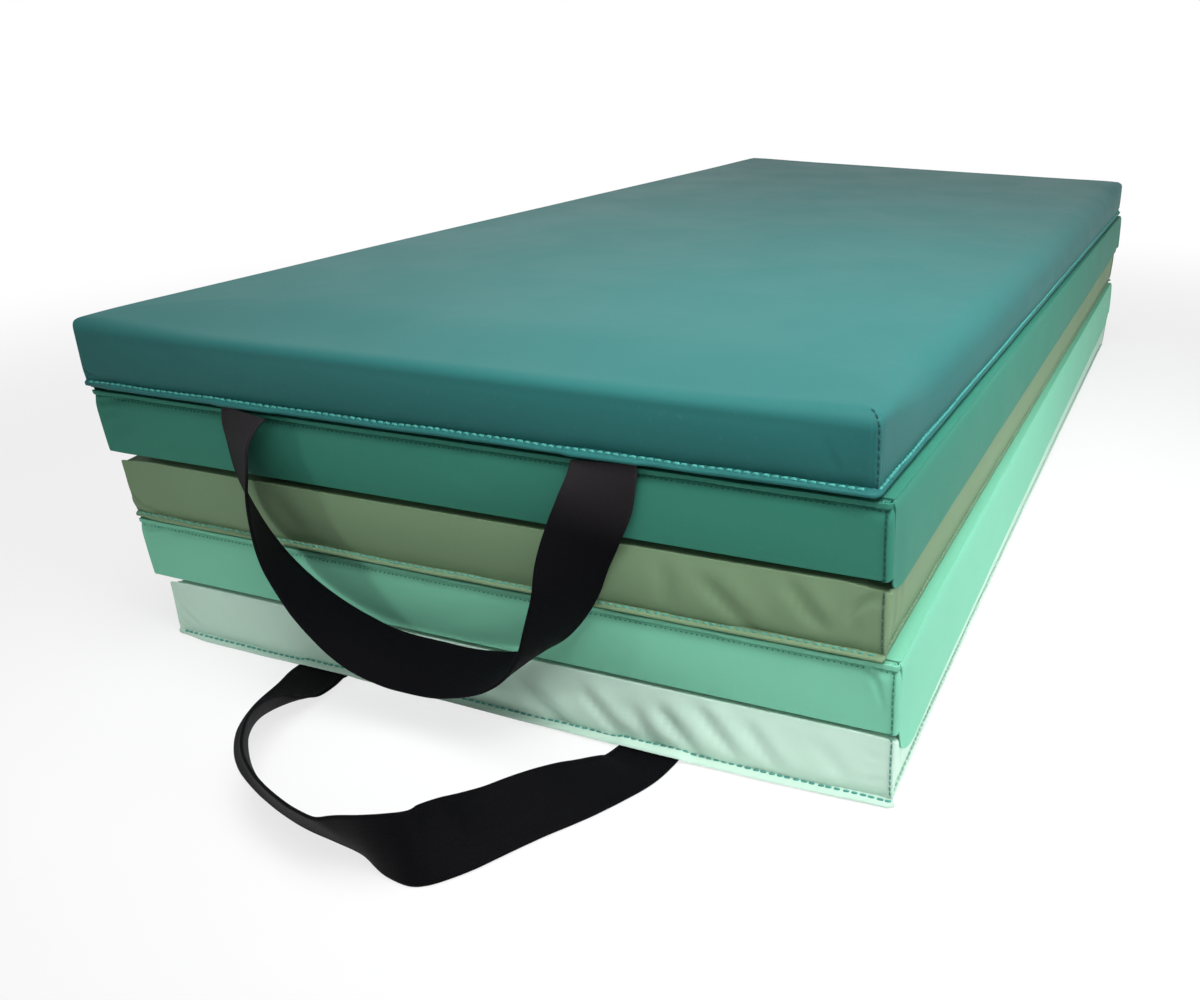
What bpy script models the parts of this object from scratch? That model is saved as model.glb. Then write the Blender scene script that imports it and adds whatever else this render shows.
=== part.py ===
"""A gymnastics mat of five soft panels that folds like an accordion, with two webbing carry handles.

Units are metres, +Z is up and the handles are on the -Y end. The mat is modelled folded up, as a
block of five panels that lies on z = 0. Panel 1 is the top one. Each panel is a foam core in a
vinyl cover, closed by a base sheet with a stitched, bound seam. Panels 2 and 4 lie turned over,
so base sheets meet base sheets and faces meet faces. The folds are on the left (-X) where base
sheets meet, and on the right (+X) where faces meet.
"""

import math

import bpy
from mathutils import Matrix, Vector

# Panels
PANEL_COUNT = 5
PANEL_WIDTH = 0.600
PANEL_LENGTH = 1.200
PANEL_THICKNESS = 0.050
LEFT_STEP = 0.009  # each turned pair of panels starts this much further right
RIGHT_STEP = 0.0075  # and ends this much further right

# Cover, base sheet and foam
COVER_WALL = 0.0010
SHEET = 0.0010
GAP = 0.0003  # between pieces that touch
EDGE_RADIUS = 0.013  # soft edge round the face
CORNER_RADIUS = 0.008  # upright corners
SIDE_CROWN = 0.0015  # how far the side walls bulge at mid height
FACE_CROWN = 0.0015  # how far the face falls towards its edges
EDGE_SAG = 0.0020  # how much more it falls midway between two corners
CROWN_REACH = 0.110  # the face is level further in than this

# Seam binding
BINDING_DEPTH = 0.0045  # on the ends
BINDING_HEIGHT = 0.0045

# Hinge flaps
FLAP = 0.0010
FLAP_HEIGHT = 0.018
FLAP_END = 0.012  # from the panel's end to the flap's
FLAP_CORNER = 0.005

# Carry handles
WEB_WIDTH = 0.045
WEB_THICKNESS = 0.0020
HANDLE_SPACING = 0.277  # between the middles of a handle's two ends
HANDLE_OFFSET = -0.0065  # of a handle's middle from its panel's
HANDLE_FLOOR_GAP = 0.043  # under the middle of the hanging handle's web
HANDLE_REACH = 0.156  # how far the lying handle's outer edge comes forward
WEB_GAP = 0.0004  # between the web and the binding that it comes out of
FLOOR_GAP = 0.0002  # under the lying handle

# Worked out from the sizes above
PANEL_HEIGHT = PANEL_THICKNESS - GAP
HINGE_OFFSET = SIDE_CROWN + GAP + FLAP + GAP / 2  # fold line outside the side wall
FACING_DEPTH = HINGE_OFFSET - GAP  # binding on the sides, where panels meet when open
FRONT = -PANEL_LENGTH / 2
SEAM_FRONT = FRONT - BINDING_DEPTH - WEB_GAP  # no part of a handle is further back

# Mesh density
SIDE_STEPS = {"long": 8, "short": 5}
CORNER_STEPS = 3
WEB_STEPS = 4  # between two points of a handle's route
SETTLE_ROUNDS = 40
Y, Z = 1, 2

VINYL_COLOURS = {
    1: (0.035, 0.165, 0.160),
    2: (0.050, 0.225, 0.165),
    3: (0.165, 0.265, 0.145),
    4: (0.185, 0.480, 0.340),
    5: (0.480, 0.650, 0.540),
}
FOAM_COLOUR = (0.80, 0.79, 0.74)
WEB_COLOUR = (0.012, 0.012, 0.014)


def clear_scene():
    for obj in list(bpy.data.objects):
        bpy.data.objects.remove(obj, do_unlink=True)


def material(name, colour, roughness):
    found = bpy.data.materials.new(name)
    found.use_nodes = True
    shader = found.node_tree.nodes["Principled BSDF"]
    shader.inputs["Base Color"].default_value = (*colour, 1.0)
    shader.inputs["Roughness"].default_value = roughness
    shader.inputs["Metallic"].default_value = 0.0
    found.diffuse_color = (*colour, 1.0)
    return found


def mesh_object(name, points, faces, finish, parent, smooth_angle=35):
    mesh = bpy.data.meshes.new(name)
    mesh.from_pydata([tuple(point) for point in points], [], faces)
    mesh.validate()
    mesh.shade_smooth()
    mesh.set_sharp_from_angle(angle=math.radians(smooth_angle))
    mesh.materials.append(finish)
    obj = bpy.data.objects.new(name, mesh)
    bpy.context.collection.objects.link(obj)
    obj.parent = parent
    return obj


def empty(name, location=(0, 0, 0), rotation=(0, 0, 0), parent=None):
    obj = bpy.data.objects.new(name, None)
    bpy.context.collection.objects.link(obj)
    obj.location = location
    obj.rotation_euler = rotation
    obj.parent = parent
    return obj


def smoothstep(value):
    value = min(max(value, 0.0), 1.0)
    return value * value * (3 - 2 * value)


def outline(half_width, half_length, radius):
    """Stations round a rectangle with round corners, anticlockwise from its front left.

    Each is (x, y, outward x, outward y, share), where share is 0 at a corner and 1 midway along
    a side.
    """
    stations = []
    sides = (
        ((1, 0), (0, -1), half_length, half_width, SIDE_STEPS["short"]),
        ((0, 1), (1, 0), half_width, half_length, SIDE_STEPS["long"]),
        ((-1, 0), (0, 1), half_length, half_width, SIDE_STEPS["short"]),
        ((0, -1), (-1, 0), half_width, half_length, SIDE_STEPS["long"]),
    )
    for along, out, distance, half, steps in sides:
        run = half - radius
        for step in range(steps + 1):
            place = -run + 2 * run * step / steps
            share = math.sin(math.pi * step / steps)
            stations.append((
                along[0] * place + out[0] * distance,
                along[1] * place + out[1] * distance,
                *out,
                share,
            ))
        centre = Vector(along) * run + Vector(out) * (distance - radius)
        for step in range(1, CORNER_STEPS):
            angle = math.pi / 2 * step / CORNER_STEPS
            normal = Vector(out) * math.cos(angle) + Vector(along) * math.sin(angle)
            stations.append((*(centre + normal * radius), *normal, 0.0))
    return stations


def stack_rings(rings, close_low, close_high):
    """Points and faces of one skin through rings of equally many points, low to high.

    Triangles, so that skins one inside another are split along the same diagonals.
    """
    points = [point for ring in rings for point in ring]
    count = len(rings[0])
    faces = []
    for level in range(len(rings) - 1):
        for i in range(count):
            j = (i + 1) % count
            low, high = level * count, (level + 1) * count
            faces.append((low + i, low + j, high + j))
            faces.append((low + i, high + j, high + i))
    if close_low:
        faces.append(tuple(reversed(range(count))))
    if close_high:
        faces.append(tuple(range((len(rings) - 1) * count, len(rings) * count)))
    return points, faces


def panel_ring(half_width, half_length, inset, height, bulge=0.0, drop=0.0):
    """One ring of a panel's skin. drop is the share of the face's fall that it takes."""
    radius = max(CORNER_RADIUS - inset, CORNER_RADIUS / 4)
    ring = []
    for x, y, out_x, out_y, share in outline(half_width - inset, half_length - inset, radius):
        swell = bulge * smoothstep(2 * share)
        fall = drop * (FACE_CROWN + EDGE_SAG * smoothstep(share))
        ring.append((x + out_x * swell, y + out_y * swell, height - fall))
    return ring


def panel_skin(half_width, half_length, inward, low, arc_angles, waist):
    """Rings of a panel's skin, set in by inward, from its rim at height low up to its face."""
    top = PANEL_HEIGHT - inward
    radius = EDGE_RADIUS - inward
    crown = SIDE_CROWN
    rings = [panel_ring(half_width, half_length, inward, low)]
    for height, share in waist:
        rings.append(panel_ring(half_width, half_length, inward, height, crown * share))
    for angle in arc_angles:
        turn = math.radians(angle)
        inset = inward + radius * (1 - math.cos(turn))
        height = top - radius * (1 - math.sin(turn))
        share = smoothstep(angle / 90)
        rings.append(panel_ring(half_width, half_length, inset, height, 0.0, share))
    rings.append(panel_ring(half_width, half_length, CROWN_REACH / 2, top, 0.0, 0.3))
    rings.append(panel_ring(half_width, half_length, CROWN_REACH, top))
    return rings


def cover(name, half_width, half_length, finish, parent):
    """Face and side walls in one shell, open at the base."""
    rim = SHEET + GAP
    foot = BINDING_HEIGHT + 2 * GAP
    waist = ((foot, 0.0), (0.30 * PANEL_HEIGHT, 0.6), (0.48 * PANEL_HEIGHT, 1.0), (0.64 * PANEL_HEIGHT, 0.7))
    outer = panel_skin(half_width, half_length, 0.0, rim, (0, 30, 60, 90), waist)
    inner = panel_skin(half_width, half_length, COVER_WALL, rim, (0, 45, 90), waist[2:3])
    points, faces = stack_rings(outer, False, True)
    inner_points, inner_faces = stack_rings(inner, False, True)
    offset = len(points)
    faces += [tuple(offset + i for i in reversed(face)) for face in inner_faces]
    count = len(outer[0])
    for i in range(count):
        j = (i + 1) % count
        faces.append((j, i, offset + i, offset + j))
    return mesh_object(name, points + inner_points, faces, finish, parent)


def foam_core(name, half_width, half_length, finish, parent):
    low = SHEET + 2 * GAP
    waist = ((0.48 * PANEL_HEIGHT, 1.0),)
    rings = panel_skin(half_width, half_length, COVER_WALL + GAP, low, (0, 90), waist)
    return mesh_object(name, *stack_rings(rings, True, True), finish, parent)


def base_sheet(name, half_width, half_length, finish, parent):
    rings = [panel_ring(half_width, half_length, 0.0, height) for height in (0.0, SHEET)]
    return mesh_object(name, *stack_rings(rings, True, True), finish, parent)


def seam_binding(name, half_width, half_length, depths, finish, parent):
    """Bound seam edge. depths is its depth on the left and right, and None leaves a side open."""
    left, right = depths
    stations = outline(half_width, half_length, CORNER_RADIUS)
    closed = left is not None and right is not None
    if not closed:
        open_side = -1 if left is None else 1
        kept = [station[2] * open_side < 0.999 for station in stations]
        start = next(i for i in range(len(kept)) if kept[i] and not kept[i - 1])
        stations = [stations[(start + i) % len(kept)] for i in range(sum(kept))]
    low, high = GAP, BINDING_HEIGHT
    sections = []
    for x, y, out_x, out_y, _ in stations:
        side = (left if out_x < 0 else right) or BINDING_DEPTH
        depth = BINDING_DEPTH * out_y * out_y + side * out_x * out_x
        chamfer = depth / 4
        profile = (
            (GAP, low),
            (depth - chamfer, low),
            (depth, (low + high) / 2),
            (depth - chamfer, high),
            (GAP, high),
        )
        sections.append([(x + out_x * out, y + out_y * out, z) for out, z in profile])
    points = [point for section in sections for point in section]
    size = len(sections[0])
    faces = []
    spans = len(sections) if closed else len(sections) - 1
    for i in range(spans):
        here, there = i * size, (i + 1) % len(sections) * size
        for k in range(size):
            m = (k + 1) % size
            faces.append((here + k, there + k, there + m, here + m))
    if not closed:
        faces.append(tuple(range(size)))
        faces.append(tuple(reversed(range(len(points) - size, len(points)))))
    return mesh_object(name, points, faces, finish, parent)


def hinge_flap(name, wall_x, side, low, high, finish, parent):
    """A strip against the outside of a side wall, from low to high, with round corners."""
    inner = wall_x + side * (SIDE_CROWN + GAP)
    outer = inner + side * FLAP
    half_length = PANEL_LENGTH / 2 - FLAP_END
    middle = (low + high) / 2
    flat = outline(half_length, (high - low) / 2, FLAP_CORNER)
    corners = [i for i, station in enumerate(flat) if station[4] < 1e-6]
    near, far = [
        [(x, flat[i][0], middle + flat[i][1]) for i in corners] for x in sorted((inner, outer))
    ]
    return mesh_object(name, *stack_rings([near, far], True, True), finish, parent)


def spline(values, steps):
    """Catmull-Rom curve through tuples of numbers, with steps points from one to the next."""
    vectors = [Vector(value) for value in values]
    first = 2 * vectors[0] - vectors[1]
    last = 2 * vectors[-1] - vectors[-2]
    padded = [first, *vectors, last]
    curve = []
    for a, b, c, d in zip(padded, padded[1:], padded[2:], padded[3:]):
        for step in range(steps):
            t = step / steps
            curve.append(0.5 * (
                2 * b + (c - a) * t + (2 * a - 5 * b + 4 * c - d) * t * t + (3 * b - a - 3 * c + d) * t**3
            ))
    return [*curve, vectors[-1]]


def web_directions(centres, widths, i):
    """Across the web from its back to its front edge, and out of its flat side, at one centre."""
    ahead = centres[min(i + 1, len(centres) - 1)]
    behind = centres[max(i - 1, 0)]
    along = (ahead - behind).normalized()
    across = (widths[i] - along * widths[i].dot(along)).normalized()
    return across, along.cross(across)


def settle(centres, widths, axis, plane, side, only_behind=False):
    """Moves each centre along one axis until its section touches a plane, and is on one side of it.

    With only_behind, a section that is clear of the plane already stays where it is.
    """
    for _ in range(SETTLE_ROUNDS):
        places = []
        for i, centre in enumerate(centres):
            across, normal = web_directions(centres, widths, i)
            width_reach = abs(across[axis]) * WEB_WIDTH
            thickness_reach = abs(normal[axis]) * WEB_THICKNESS
            place = plane + side * (width_reach + thickness_reach) / 2
            if only_behind and side * (centre[axis] - place) > 0:
                place = centre[axis]
            places.append((place + centre[axis]) / 2)
        for centre, place in zip(centres, places):
            centre[axis] = place


def ribbon(name, centres, widths, finish, parent):
    """A flat web swept along its centres."""
    sections = []
    for i, centre in enumerate(centres):
        across, normal = web_directions(centres, widths, i)
        half_width = across * WEB_WIDTH / 2
        half_thickness = normal * WEB_THICKNESS / 2
        sections.append([
            centre - half_width - half_thickness,
            centre + half_width - half_thickness,
            centre + half_width + half_thickness,
            centre - half_width + half_thickness,
        ])
    points = [point for section in sections for point in section]
    faces = [(3, 2, 1, 0)]
    for i in range(len(sections) - 1):
        here, there = 4 * i, 4 * (i + 1)
        for k in range(4):
            m = (k + 1) % 4
            faces.append((here + k, here + m, there + m, there + k))
    end = 4 * (len(sections) - 1)
    faces.append((end, end + 1, end + 2, end + 3))
    return mesh_object(name, points, faces, finish, parent)


# Route of the hanging handle: place across as a share of half the spacing, place down as a share
# of the drop, which way its front edge points (0 is right, 90 is forward), and how far it rises.
HANGING_ROUTE = (
    (-1.00, 0.00, 0, 0),
    (-1.00, 0.03, 4, 2),
    (-0.985, 0.125, 19, 9),
    (-0.98, 0.255, 31, 16),
    (-0.955, 0.38, 44, 19),
    (-0.90, 0.515, 55, 18),
    (-0.82, 0.635, 66, 16),
    (-0.71, 0.745, 75, 11),
    (-0.595, 0.835, 84, 4),
    (-0.46, 0.91, 90, -5),
    (-0.325, 0.965, 93, -13),
    (-0.165, 0.995, 94, -20),
    (0.00, 1.00, 93, -22),
    (0.145, 0.995, 90, -19),
    (0.295, 0.97, 88, -13),
    (0.445, 0.93, 87, -6),
    (0.585, 0.86, 90, 2),
    (0.695, 0.765, 98, 11),
    (0.775, 0.64, 112, 16),
    (0.84, 0.51, 124, 17),
    (0.89, 0.38, 136, 16),
    (0.94, 0.25, 153, 12),
    (0.98, 0.12, 170, 6),
    (1.00, 0.03, 178, 1),
    (1.00, 0.00, 180, 0),
)

# Route of the lying handle's outer edge on the floor: place across as a share of half its whole
# width, place forward as a share of the reach, and how far the web leans up from the floor.
LYING_ROUTE = (
    (-1.00, 0.00, 0),
    (-1.00, 0.04, 1),
    (-0.965, 0.185, 3),
    (-0.93, 0.34, 11),
    (-0.855, 0.50, 26),
    (-0.75, 0.62, 46),
    (-0.625, 0.715, 65),
    (-0.49, 0.78, 83),
    (-0.355, 0.83, 98),
    (-0.22, 0.87, 107),
    (-0.08, 0.90, 113),
    (0.065, 0.915, 118),
    (0.21, 0.935, 116),
    (0.35, 0.99, 94),
    (0.49, 1.00, 69),
    (0.60, 0.89, 49),
    (0.68, 0.755, 32),
    (0.755, 0.62, 27),
    (0.83, 0.50, 22),
    (0.91, 0.355, 12),
    (0.975, 0.20, 3),
    (1.00, 0.04, 0),
    (1.00, 0.00, 0),
)


def hanging_handle(name, centre_x, seam_height, finish, parent):
    """Both ends start flat in the seam, and the loop's bottom turns its flat side up."""
    drop = seam_height - HANDLE_FLOOR_GAP
    centres, widths = [], []
    for across, down, yaw, droop in spline(HANGING_ROUTE, WEB_STEPS):
        yaw, droop = math.radians(yaw), math.radians(droop)
        widths.append(Vector((math.cos(yaw), -math.sin(yaw), math.tan(droop))))
        centres.append(Vector((
            centre_x + across * HANDLE_SPACING / 2, 0, seam_height - down * drop
        )))
    settle(centres, widths, Y, SEAM_FRONT, -1)
    return ribbon(name, centres, widths, finish, parent)


def lying_handle(name, centre_x, finish, parent):
    """The web's outer edge lies on the floor, and the web leans or stands on it."""
    half_span = (HANDLE_SPACING + WEB_WIDTH) / 2
    route = spline(LYING_ROUTE, WEB_STEPS)
    edge = [
        Vector((centre_x + across * half_span, SEAM_FRONT - forward * HANDLE_REACH, 0))
        for across, forward, _ in route
    ]
    centres, widths = [], []
    for i, (_, _, lean) in enumerate(route):
        lean = math.radians(lean)
        along = (edge[min(i + 1, len(edge) - 1)] - edge[max(i - 1, 0)]).normalized()
        inward = Vector((-along.y, along.x, 0))
        width = inward * math.cos(lean) + Vector((0, 0, math.sin(lean)))
        centres.append(edge[i] + width * WEB_WIDTH / 2)
        widths.append(width)
    settle(centres, widths, Y, SEAM_FRONT, -1, only_behind=True)
    settle(centres, widths, Z, FLOOR_GAP, 1)
    return ribbon(name, centres, widths, finish, parent)


def panel_sides(number):
    """World x of a panel's left and right walls."""
    left = -PANEL_WIDTH / 2 + LEFT_STEP * ((number - 1) // 2)
    right = PANEL_WIDTH / 2 + RIGHT_STEP * (number // 2)
    return left, right


def panel_floor(number):
    """Height of a panel's underside."""
    return (PANEL_COUNT - number) * PANEL_THICKNESS


def binding_depths(number):
    """Binding depth on a panel's left and right as it lies: None where a hinge takes its place."""
    left_hinge = number < PANEL_COUNT or number % 2 == 0
    return (None if left_hinge else FACING_DEPTH), FACING_DEPTH


def make_panel(number, vinyl, foam, frame):
    left, right = panel_sides(number)
    turned = number % 2 == 0
    half_width, half_length = (right - left) / 2, PANEL_LENGTH / 2
    height = panel_floor(number) + (PANEL_HEIGHT if turned else 0)
    place = ((left + right) / 2, 0, height)
    stand = empty(f"panel_{number}_stand", place, (0, math.pi if turned else 0, 0), frame)
    depths = binding_depths(number)
    if turned:
        depths = depths[::-1]
    foam_core(f"panel_{number}_foam_core", half_width, half_length, foam, stand)
    cover(f"panel_{number}_cover", half_width, half_length, vinyl, stand)
    base_sheet(f"panel_{number}_base_sheet", half_width, half_length, vinyl, stand)
    seam_binding(f"panel_{number}_seam_binding", half_width, half_length, depths, vinyl, stand)


def make_hinge(upper, vinyls, frame):
    """The two flaps between a panel and the one under it, and the place of their fold line."""
    lower = upper + 1
    side = -1 if upper % 2 else 1
    wall_x = panel_sides(upper)[0 if side < 0 else 1]
    fold_height = panel_floor(upper) - GAP / 2
    spans = {
        upper: (fold_height + GAP / 2, fold_height + FLAP_HEIGHT),
        lower: (fold_height - FLAP_HEIGHT, fold_height - GAP / 2),
    }
    for number, (low, high) in spans.items():
        name = f"hinge_{upper}_{lower}_flap_{number}"
        hinge_flap(name, wall_x, side, low, high, vinyls[number], frame)
    return Vector((wall_x + side * HINGE_OFFSET, 0, fold_height))


def centre_over_base(frame):
    """Moves everything so that the middle of the whole mat's base is the origin."""
    bpy.context.view_layer.update()
    corners = [
        obj.matrix_world @ vertex.co
        for obj in bpy.data.objects
        if obj.type == "MESH"
        for vertex in obj.data.vertices
    ]
    for axis in (0, 1):
        values = [corner[axis] for corner in corners]
        frame.location[axis] = -(min(values) + max(values)) / 2
    bpy.context.view_layer.update()


def main():
    clear_scene()
    frame = empty("mat_frame")
    foam = material("foam", FOAM_COLOUR, 0.95)
    web = material("webbing", WEB_COLOUR, 0.85)
    vinyls = {n: material(f"vinyl_{n}", colour, 0.45) for n, colour in VINYL_COLOURS.items()}
    for number in range(1, PANEL_COUNT + 1):
        make_panel(number, vinyls[number], foam, frame)
    folds = {
        f"fold_{n}_{n + 1}": make_hinge(n, vinyls, frame) for n in range(1, PANEL_COUNT)
    }
    centres = {n: sum(panel_sides(n)) / 2 + HANDLE_OFFSET for n in (1, PANEL_COUNT)}
    seam = panel_floor(1)
    hanging_handle("carry_handle_upper", centres[1], seam, web, frame)
    lying_handle("carry_handle_lower", centres[PANEL_COUNT], web, frame)
    web_middle = SEAM_FRONT - WEB_THICKNESS / 2
    folds["handle_upper_swing"] = Vector((centres[1], web_middle, seam))
    folds["handle_lower_swing"] = Vector((
        centres[PANEL_COUNT], SEAM_FRONT, FLOOR_GAP + WEB_THICKNESS / 2
    ))
    centre_over_base(frame)
    for name, place in folds.items():
        marker = empty(f"{name}_axis", place, parent=frame)
        bpy.context.view_layer.update()
        print(name, [round(value, 6) for value in marker.matrix_world.translation])


main()
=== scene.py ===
"""Looks of the folding gymnastics mat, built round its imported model.

Each panel gets a padded vinyl cover with its folds and puckers, a base sheet, a foam core, a
stitched hem along its seam and rows of thread. Strips of cloth bend over the four folds, and two
woven webs are the carry handles. Lengths are in metres, and names ending in _mm are millimetres.
"""

import math

import bpy
import numpy as np
from mathutils import Matrix, Vector


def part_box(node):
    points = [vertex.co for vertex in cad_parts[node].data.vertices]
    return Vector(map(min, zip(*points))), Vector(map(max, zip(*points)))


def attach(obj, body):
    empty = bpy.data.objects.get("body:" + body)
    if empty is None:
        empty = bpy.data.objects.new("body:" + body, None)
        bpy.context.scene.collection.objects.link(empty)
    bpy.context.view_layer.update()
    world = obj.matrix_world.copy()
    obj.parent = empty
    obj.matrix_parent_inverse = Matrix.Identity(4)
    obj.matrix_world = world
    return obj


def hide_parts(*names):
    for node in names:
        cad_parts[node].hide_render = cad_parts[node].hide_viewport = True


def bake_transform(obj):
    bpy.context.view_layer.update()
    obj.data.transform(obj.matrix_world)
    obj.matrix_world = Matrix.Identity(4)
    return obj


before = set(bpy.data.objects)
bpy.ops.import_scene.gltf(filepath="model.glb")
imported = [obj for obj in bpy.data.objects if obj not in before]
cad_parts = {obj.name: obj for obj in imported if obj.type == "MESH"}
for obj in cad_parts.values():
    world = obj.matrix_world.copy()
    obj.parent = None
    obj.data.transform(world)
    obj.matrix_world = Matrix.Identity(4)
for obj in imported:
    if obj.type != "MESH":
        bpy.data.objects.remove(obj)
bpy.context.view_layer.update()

MM = 0.001
Z = 2

# Panel 1 is on top. Panels 2 and 4 lie turned over, with their base sheets up.
PANELS = (1, 2, 3, 4, 5)
TURNED = (2, 4)
COVER_WALL = 0.0010
WALL_STEPS = 16  # rings up the wall
ROUND_STEPS = 11  # rings over the rounded edge
FACE_STEPS_MM = (4, 9, 15, 22)  # rings on the face, from its edge
FACE_GRID_INSET = 0.009  # of the grid in the middle of the face, from the last ring
FOAM_SQUEEZE = 0.965  # of its height, under the cover
FOAM_GAP = 0.0048  # from the cover's inside
FOAM_FLOOR = 0.0022
SHEET = 0.0010
RIM_HEIGHT = 0.0013
CORNER_RADIUS_MM = {1: 3.5, 2: 2.3, 3: 2.3, 4: 2.3, 5: 2.3}
SMALLEST_CORNER = 0.0016

# Round of the end edges, of the left edge and of the right edge, as the panel is sewn, and fall of
# the face's ends at their middle
EDGE_ROUNDS_MM = {
    1: (13.0, 5.5, 24.0, 4.6),
    2: (1.9, 4.6, 7.0, 2.4),
    3: (2.2, 7.0, 5.0, 2.2),
    4: (1.9, 4.6, 7.0, 1.0),
    5: (2.4, 14.0, 5.0, 1.0),
}
RIDGE_MM = {1: 0.2, 2: 1.2, 3: 1.0, 4: 1.1, 5: 0.9}  # upright seams at the corners
# How far the seam is drawn in on the left and on the right, as sewn
TUCK_MM = {1: (-3.2, 1.2), 2: (0.3, 0.3), 3: (2.6, 2.6), 4: (0.3, 0.3), 5: (-4.0, 3.5)}
LEFT_IN_MM = {1: -1.6, 2: 0.0, 3: 0.0, 4: 0.0, 5: 5.5}  # of the left wall
# Of the end walls, right at the base: depth and height
SEAM_CREASE_MM = {1: (2.6, 2.6), 2: (6.0, 4.2), 3: (1.6, 2.6), 4: (5.0, 3.8), 5: (0.0, 2.6)}
# On the end walls, the left and the right: swell of the wall, and pinch just over its seam
SWELL_MM = (1.9, 0.9, 0.9)
PINCH_MM = (1.1, 0.5, 0.5)
PINCH_HEIGHT = 0.005
PUCKER_MM = 0.30
SEAM_TOP = 0.004
SQUARER_MM = 15.0  # taken off the round of panel 1's right edge at its ends
SEAM_PLACE_MM = {1: -2.2, 2: 1.1, 3: 1.1, 4: 1.1, 5: 1.1}  # of a corner's thread, from its round
CORNER_DROP_MM = {1: 0.3, 2: 0.3, 3: 4.0, 4: 0.3, 5: 1.2}  # of the face at its corners
NARROWING = {1: 0.0, 2: 0.004, 3: 0.009, 4: 0.014, 5: 0.016}  # of the far end, on the right
# How much the top panel is puffed up at its near left corner, and how much more at its far one
LEFT_LIFT_MM = (2.6, 16.2)

# Soft folds in the front walls: (across from the left wall, height) along each fold, depth, width
FOLDS_MM = {
    1: (
        (((-4, 24), (2, 13), (20, 7)), 1.5, 3.0),
        (((-6, 12), (6, 5.5), (24, 3.5)), 0.8, 2.0),
        (((60, 40), (95, 30), (120, 12)), 0.3, 10.0),
        (((566, 36), (572, 22), (580, 10)), 0.3, 4.0),
    ),
    2: (
        (((0, 37), (16, 41), (42, 44)), 2.8, 3.2),
        (((0, 26), (14, 32), (34, 36)), 1.3, 4.0),
        (((0, 8), (24, 18), (56, 33)), 1.2, 8.0),
        (((46, 15), (65, 24), (82, 33)), 0.6, 6.0),
        (((560, 46), (578, 41), (600, 38)), 0.7, 3.0),
        (((300, 42), (330, 30), (350, 12)), 0.3, 12.0),
    ),
    3: (
        (((1, 24), (12, 12), (36, 8)), 1.5, 3.0),
        (((478, 40), (502, 17), (522, 0)), 2.3, 8.5),
        (((534, 48), (550, 27), (564, 12)), 2.1, 7.5),
        (((596, 43), (582, 35), (573, 20)), 1.8, 5.0),
        (((452, 45), (458, 24), (452, 6)), 1.1, 9.0),
        (((140, 46), (160, 26), (172, 10)), 0.6, 12.0),
        (((384, 44), (402, 25), (410, 8)), 0.7, 10.0),
    ),
    4: (
        (((1, 43), (13, 42), (28, 47)), 1.6, 2.6),
        (((4, 26), (20, 33), (42, 43)), 0.9, 6.0),
        (((570, 46), (586, 42), (598, 31)), 1.6, 2.6),
        (((588, 42), (594, 30), (598, 16)), 1.0, 3.0),
        (((260, 12), (300, 24), (330, 40)), 0.3, 12.0),
    ),
    5: (
        (((2, 30), (14, 19), (27, 8)), 1.4, 3.0),
        (((1, 17), (10, 11), (22, 8)), 1.1, 2.2),
        (((38, 40), (51, 27), (62, 11)), 1.0, 5.0),
        (((70, 40), (86, 27), (100, 12)), 0.6, 7.0),
        (((322, 36), (346, 16), (368, 2)), 3.6, 9.0),
        (((374, 39), (394, 20), (410, 4)), 3.4, 6.5),
        (((414, 35), (427, 14), (440, 1)), 2.6, 6.0),
        (((432, 40), (452, 19), (470, 2)), 3.6, 6.5),
        (((460, 45), (480, 25), (498, 5)), 3.4, 6.5),
        (((494, 42), (512, 21), (524, 4)), 2.3, 6.5),
        (((540, 40), (556, 24), (568, 7)), 0.9, 8.0),
        (((574, 13), (584, 17), (594, 17)), 1.1, 3.0),
        (((576, 35), (586, 33), (595, 35)), 0.8, 3.0),
    ),
}

# Soft folds in the right walls: (along from the handle end, height) along each fold, depth, width
SIDE_FOLDS_MM = {
    1: ((((430, 30), (520, 22), (640, 24)), 0.5, 9.0),),
    2: ((((9, 46), (13, 30), (12, 4)), 0.6, 3.5), (((700, 20), (820, 26), (930, 22)), 0.5, 9.0)),
    3: (
        (((10, 44), (15, 26), (11, 6)), 0.9, 3.0),
        (((22, 46), (27, 28), (24, 8)), 0.6, 4.0),
        (((300, 20), (420, 26), (520, 20)), 0.5, 8.0),
    ),
    4: ((((9, 46), (12, 30), (14, 8)), 0.7, 3.5), (((560, 22), (700, 18), (820, 26)), 0.5, 9.0)),
    5: ((((9, 40), (13, 24), (10, 8)), 0.6, 3.5),),
}

# Hems
HEM_STEP = 0.0028
# The rolled hem's section: shares of its depth, or mm inwards, and of its height
HEM_SECTION = (
    (-1.6, 0.00), (-0.1, 0.02), (0.55, 0.03), (0.88, 0.16), (1.00, 0.42), (0.97, 0.70),
    (0.82, 0.92), (0.56, 1.02), (0.28, 1.10), (0.05, 1.28), (-1.6, 1.35),
)
HEM_THREAD_PLACE = 8  # the point of the section that the thread follows
HEM_DEPTH_MM = {1: 4.6, 2: 0.3, 3: 4.2, 4: 0.3, 5: 5.0}  # on the ends
HEM_SIDE_DEPTH_MM = {1: 2.4, 2: 0.5, 3: 0.7, 4: 0.5, 5: 1.6}
HEM_LEFT_MM = {1: 0.9, 2: 0.5, 3: 0.6, 4: 0.5, 5: 1.0}
HEM_HEIGHT_MM = {1: 3.5, 2: 2.2, 3: 2.7, 4: 2.2, 5: 3.0}
HEM_RAISED_MM = {1: 1.5, 2: 0.6, 3: 1.0, 4: 0.6, 5: 0.1}
FRONT_BOW_MM = {1: 0.0, 2: 0.0, 3: 0.0, 4: 0.0, 5: 3.6}  # of the lowest hem, right of the middle
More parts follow.
